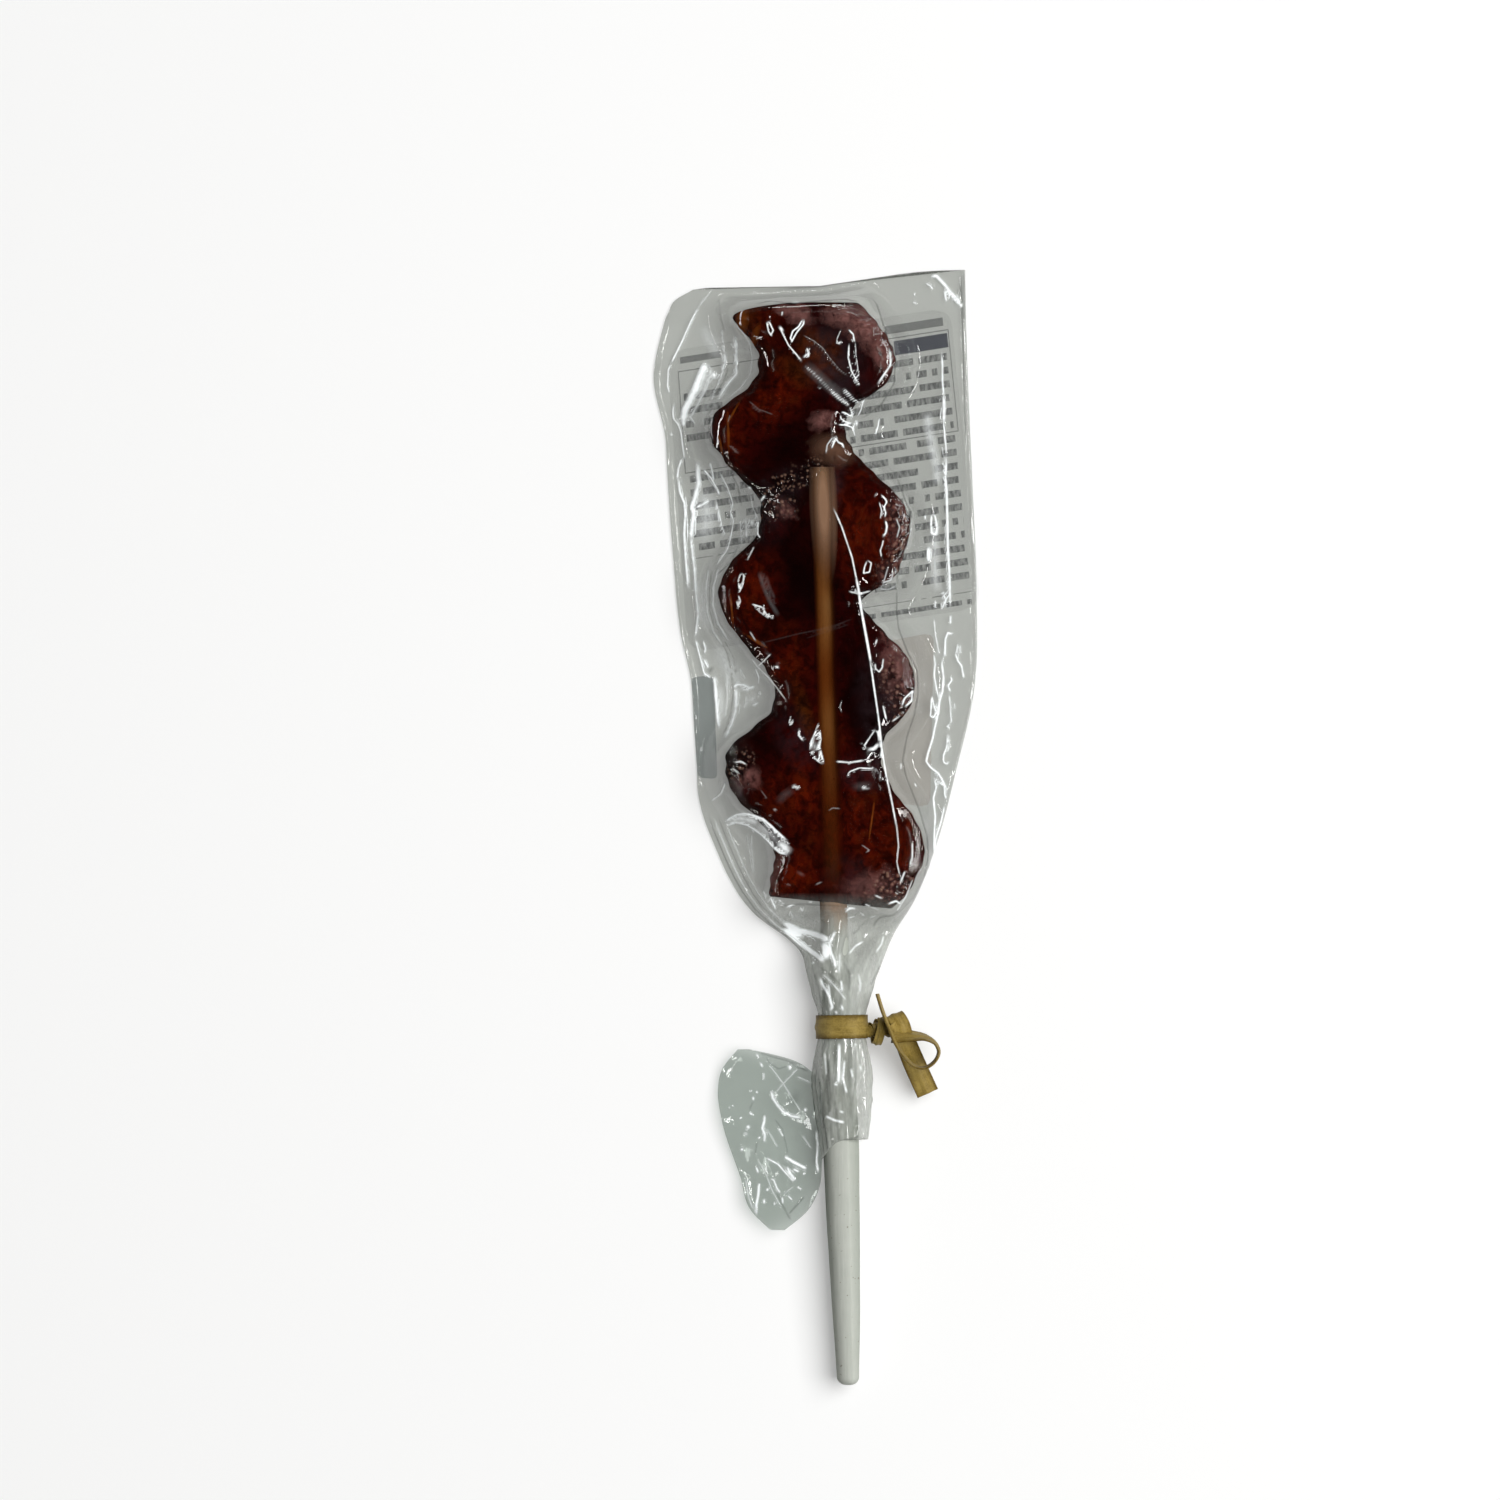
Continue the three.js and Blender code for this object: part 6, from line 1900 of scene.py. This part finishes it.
@dataclass
class Tie:
    """Paper twist tie: band round the neck, twisted knot and two loose ends."""

    bag: Bag
    y: float = -33.35
    band_width: float = 3.9
    ribbon_width: float = 3.7
    curl_width: float = 3.3
    paper: float = 0.13
    wire: float = 0.2
    wire_reach: float = 0.3
    gap: float = 0.3
    band_sway: float = 0.12
    band_waves: Pair = (0.04, 7.0)
    twist_from: float = 8.4
    twist_to: float = 13.2
    twist_y: float = -33.9
    twist_turns: float = 1.5
    twist_width: float = 2.7
    strand_aside: float = 0.55
    strand_sway: Pair = (0.1, 9.0)
    strand_lean: float = 0.25
    loop_waves: Pair = (0.08, 3.0)
    loop_pitch: float = 0.25
    flat_end: Stops = ((13.0, -32.3, 6.6), (13.9, -34.2, 5.9), (16.1, -39.4, 4.0), (18.4, -44.5, 3.2))
    curl_end: Stops = (
        (12.4, -34.6, 6.9), (15.5, -34.8, 7.3), (18.0, -35.1, 7.5), (19.6, -36.1, 7.6), (20.1, -37.4, 7.7),
        (19.3, -39.1, 7.8), (17.8, -40.0, 8.0), (16.0, -39.7, 8.2), (14.5, -38.3, 8.4), (12.8, -35.7, 8.6),
        (11.7, -33.1, 8.7), (10.8, -30.7, 8.6), (9.9, -27.8, 8.4),
    )
    curl_tilt: Stops = (
        (0.0, 0.9), (0.1, 0.55), (0.2, 0.25), (0.3, 0.06), (0.5, -0.06), (0.8, -0.08), (1.0, -0.1),
    )
    loops: Stops = (
        (10.15, -34.0, 5.3, 2.1, 1.5, -12.0, 20.0, 330.0), (13.2, -33.4, 5.0, 2.0, 3.0, 22.0, -10.0, 200.0),
    )
    across: int = 22
    band_steps: int = 140
    strand_steps: int = 90
    loop_steps: int = 80
    end_steps: int = 90
    curl_steps: int = 180

    def run(self, points: Array) -> Array:
        """Length from the first point up to each."""
        return np.concatenate(([0.0], np.cumsum(np.linalg.norm(np.diff(points, axis=0), axis=1))))

    def path(self, points: Stops, steps: int) -> Array:
        """Smooth path through points, by chord length.

        Args:
            points: Points that it passes.
            steps: Number of its points.

        Returns:
            The path's points.
        """
        stops = np.asarray(points, float)
        chord = self.run(stops)
        at = np.linspace(0.0, chord[-1], steps)
        table = np.column_stack((chord, stops))
        return np.stack([curve_through(table, at, column) for column in (1, 2, 3)], axis=-1)

    def ribbon(self, path: Array, side: Array, width: float) -> Skin:
        """Paper ribbon: a thin flat section with a ridge over its wire, carried along a path.

        Args:
            path: Points along the middle.
            side: Direction of the width at each point.
            width: Width of the ribbon.

        Returns:
            The closed skin.
        """
        along = np.gradient(path, axis=0)
        along /= np.linalg.norm(along, axis=1, keepdims=True)
        side = side - (side * along).sum(axis=1, keepdims=True) * along
        side /= np.linalg.norm(side, axis=1, keepdims=True)
        face = np.cross(along, side)
        part = np.linspace(-1.0, 1.0, self.across)
        half = self.paper + self.wire * bell(part, self.wire_reach)
        across = np.concatenate((part, part[::-1]))
        lift = np.concatenate((half, -half))
        across = across * width / 2
        grid = path[:, None] + side[:, None] * across[None, :, None] + face[:, None] * lift[None, :, None]
        flat = np.stack(np.broadcast_arrays(self.run(path)[:, None], across[None, :]), axis=-1)
        return Skin.tube(grid, flat).outward()

    def band(self) -> Skin:
        """Ring of ribbon that follows the neck's oval."""
        turn = np.linspace(0.0, TURN, self.band_steps)
        wide, high = (float(curve_through(self.bag.neck, np.array([self.y]), column)[0]) for column in (1, 2))
        wave, waves = self.band_waves
        stand = self.gap + self.paper + wave * np.sin(waves * turn)
        centre = self.bag.stick.axis(np.array([self.y]))[0]
        y = self.y + self.band_sway * np.sin(turn + 0.5)
        path = np.stack((
            self.bag.neck_x + (wide + stand) * np.cos(turn), y, centre[2] + (high + stand) * np.sin(turn),
        ), axis=-1)
        side = np.broadcast_to((0.0, 1.0, 0.0), path.shape)
        return self.ribbon(path, side, self.band_width)

    def strand(self, shift: float) -> Skin:
        """One of the two strands of the knot, wound about the other.

        Args:
            shift: Turn of this strand against the other.

        Returns:
            The strand.
        """
        part = np.linspace(0.0, 1.0, self.strand_steps)
        turn = part * self.twist_turns * TURN + shift
        height = self.bag.stick.axis(np.array([self.y]))[0, 2]
        sway, pace = self.strand_sway
        aside = self.strand_aside + sway * np.sin(part * pace)
        path = np.stack((
            blend(self.twist_from, self.twist_to, part),
            self.twist_y + aside * np.cos(turn),
            height + aside * np.sin(turn),
        ), axis=-1)
        side = np.stack((self.strand_lean + 0.0 * part, -np.sin(turn), np.cos(turn)), axis=-1)
        return self.ribbon(path, side, self.twist_width)

    def loop(
        self, x: float, y: float, z: float, reach: float, width: float, lean: float, start: float, end: float
    ) -> Skin:
        """Ribbon bent round the knot as part of a ring that stands across it.

        Args:
            x: Middle of the ring along X.
            y: Middle along Y.
            z: Middle along Z.
            reach: Radius of the ring.
            width: Width of the ribbon.
            lean: Turn of the ring seen from above, in degrees.
            start: Where the ring begins, in degrees from its level place.
            end: Where it ends.

        Returns:
            The loop.
        """
        turn = np.radians(np.linspace(start, end, self.loop_steps))
        lean = math.radians(lean)
        axis = np.array((math.cos(lean), math.sin(lean), 0.0))
        level = np.array((-math.sin(lean), math.cos(lean), 0.0))
        wave, waves = self.loop_waves
        ring = reach * (1.0 + wave * np.sin(waves * turn))
        path = np.array((x, y, z)) + level * (ring * np.cos(turn))[:, None]
        path = path + np.outer(ring * np.sin(turn), (0.0, 0.0, 1.0))
        path = path + axis * (self.loop_pitch * width * np.sin(turn))[:, None]
        return self.ribbon(path, np.broadcast_to(axis, path.shape), width)

    def build(self, finish: Material) -> None:
        """Makes the band, the knot and the loose ends.

        Args:
            finish: The kraft paper.
        """
        flat_path = self.path(self.flat_end, self.end_steps)
        lean = np.linspace(0.0, 1.0, self.end_steps)
        flat_side = np.stack((np.sin(lean), np.cos(lean), 0.0 * lean), axis=-1)
        curl_path = self.path(self.curl_end, self.curl_steps)
        tilt = curve_through(self.curl_tilt, np.linspace(0.0, 1.0, self.curl_steps))
        ahead = np.gradient(curl_path, axis=0)
        aside = np.stack((ahead[:, 1], -ahead[:, 0], 0.0 * tilt), axis=-1)
        aside = aside / np.linalg.norm(ahead, axis=1, keepdims=True)
        curl_side = aside * np.sin(tilt)[:, None] + np.outer(np.cos(tilt), (0.0, 0.0, 1.0))
        pieces = {
            "tie_band": self.band(),
            "tie_knot": self.strand(0.0).joined(self.strand(math.pi)),
            "tie_loops": self.loop(*self.loops[0]).joined(self.loop(*self.loops[1])),
            "tie_flat_end": self.ribbon(flat_path, flat_side, self.ribbon_width),
            "tie_curl_end": self.ribbon(curl_path, curl_side, self.curl_width),
        }
        for name, skin in pieces.items():
            mount(skin.build(name), finish, "tie" if name == "tie_band" else None)


@dataclass(frozen=True)
class Lamp:
    """A rectangular soft light that faces the lollipop, with angles in degrees and sizes in metres."""

    name: str
    azimuth: float
    polar: float
    size: Pair
    radiance: float
    mirrored: bool = True
    lights: bool = False
    distance: float = 0.9

    def place(self) -> None:
        """Puts the light into the scene."""
        turn, tilt = math.radians(self.azimuth), math.radians(self.polar)
        aim = Vector((math.sin(tilt) * math.cos(turn), math.sin(tilt) * math.sin(turn), math.cos(tilt)))
        data = bpy.data.lights.new(self.name, "AREA")
        data.shape = "RECTANGLE"
        data.size, data.size_y = self.size
        data.energy = self.radiance * math.pi * self.size[0] * self.size[1]
        lamp = bpy.data.objects.new(self.name, data)
        lamp.location = aim * self.distance
        lamp.visible_glossy = self.mirrored
        lamp.visible_diffuse = self.lights
        lamp.rotation_euler = aim.to_track_quat("Z", "Y").to_euler()
        bpy.context.scene.collection.objects.link(lamp)


@dataclass
class Studio:
    """Pale floor, soft lights and the camera that looks straight down."""

    floor_level: float = -0.25
    floor_reach: float = 2500.0
    floor_colour: Colour = srgb(207, 207, 206)
    floor_glow: float = 0.31
    floor_roughness: float = 0.9
    frame_width: float = 250.0
    frame_middle: Pair = (-11.16, 12.58)
    camera_height: float = 1200.0
    sensor: float = 36.0
    lamps: tuple[Lamp, ...] = (
        Lamp("right_strip", 3.0, 50.0, (0.6, 0.09), 20.0),
        Lamp("left_strip", 178.0, 50.0, (0.5, 0.04), 18.0),
        Lamp("far_strip", 85.0, 54.0, (0.4, 0.05), 18.0),
        Lamp("near_window", 226.0, 48.0, (0.14, 0.16), 10.0),
        Lamp("overhead_cloth", 12.0, 28.0, (1.4, 1.4), 6.2, False, True, 1.6),
    )
    sky: float = 0.012
    horizon: float = 0.13
    dusk: Pair = (0.06, 0.32)
    sight: float = 10.0
    clear_bounces: int = 48
    bounces: int = 16

    def floor(self) -> None:
        """Makes the floor: a flat sheet with its own pale finish."""
        reach = np.linspace(-self.floor_reach, self.floor_reach, 9)
        x, y = np.meshgrid(reach, reach)
        piece = Skin.sheet(np.stack((x, y, self.floor_level + 0.0 * x), axis=-1)).build("floor")
        bench = Bench("pale_floor")
        glow = {"Emission Color": WHITE, "Emission Strength": self.floor_glow}
        paint = bench.matt(self.floor_colour, self.floor_roughness, more=glow)
        piece.data.materials.append(bench.finished(paint))

    def surroundings(self) -> None:
        """Lights the room: pale at the horizon and dark overhead."""
        bench = Bench("room", room=True)
        up = bench.parts(bench.value("TexCoord", output="Generated"))[2]
        pale, dark = ((tone, tone, tone, 1.0) for tone in (self.horizon, self.sky))
        light = bench.node("Background", inputs={"Color": bench.mix(up.step(*self.dusk), pale, dark)})
        bpy.context.scene.world = bench.finished(light)

    def camera(self) -> None:
        """Sets the camera straight above the middle of the photograph's frame."""
        data = bpy.data.cameras.new("camera")
        data.sensor_width = self.sensor
        data.lens = self.sensor * self.camera_height / self.frame_width
        data.clip_end = self.sight
        camera = bpy.data.objects.new("camera", data)
        camera.location = (self.frame_middle[0] * MM, self.frame_middle[1] * MM, self.camera_height * MM)
        bpy.context.scene.collection.objects.link(camera)
        bpy.context.scene.camera = camera

    def build(self) -> None:
        """Sets up the floor, lights, camera and the way the picture is developed."""
        self.floor()
        self.surroundings()
        for lamp in self.lamps:
            lamp.place()
        self.camera()
        scene = bpy.context.scene
        scene.view_settings.view_transform = "Standard"
        scene.cycles.use_denoising = True
        scene.cycles.transparent_max_bounces = self.clear_bounces
        scene.cycles.max_bounces = self.bounces


LABELS = (
    (
        Label("clear_label", ((-21.5, 28.8), (27.3, 36.3), (22.2, 86.4), (-25.0, 79.0)), (50.0, 50.6)),
        LabelFinish("clear_label"),
    ),
    (
        Label("dark_tab", ((-19.9, 8.0), (-16.6, 7.7), (-17.2, 24.9), (-20.9, 24.8)), (3.6, 17.0), 0.9, 0.0),
        LabelFinish("dark_tab", srgb(213, 217, 218), printed=False),
    ),
    (
        Label("pale_tab", ((9.0, 4.3), (18.9, 3.0), (19.5, 32.2), (9.0, 30.2)), (10.3, 28.0), 1.5, 0.0),
        LabelFinish("pale_tab", srgb(244, 240, 238), printed=False),
    ),
)


def main() -> None:
    """Builds the studio and then the lollipop, piece by piece."""
    logging.basicConfig(level=logging.INFO, format="%(name)s %(message)s")
    Studio().build()
    stick, candy = Stick(), Candy()
    bag = Bag(candy, stick)
    stick.build(PaperFinish().material())
    candy.build(CandyFinish())
    bag.build(FilmFinish("clear_film").material())
    loose = FilmFinish("wing_film", srgb(224, 228, 225), streak_scale=(0.3, 0.25, 0.3), streak_turn=30.0)
    Wing().build(loose.material())
    for label, finish in LABELS:
        label.build(finish.material())
    Tie(bag).build(KraftFinish().material())


if __name__ == "__main__":
    main()
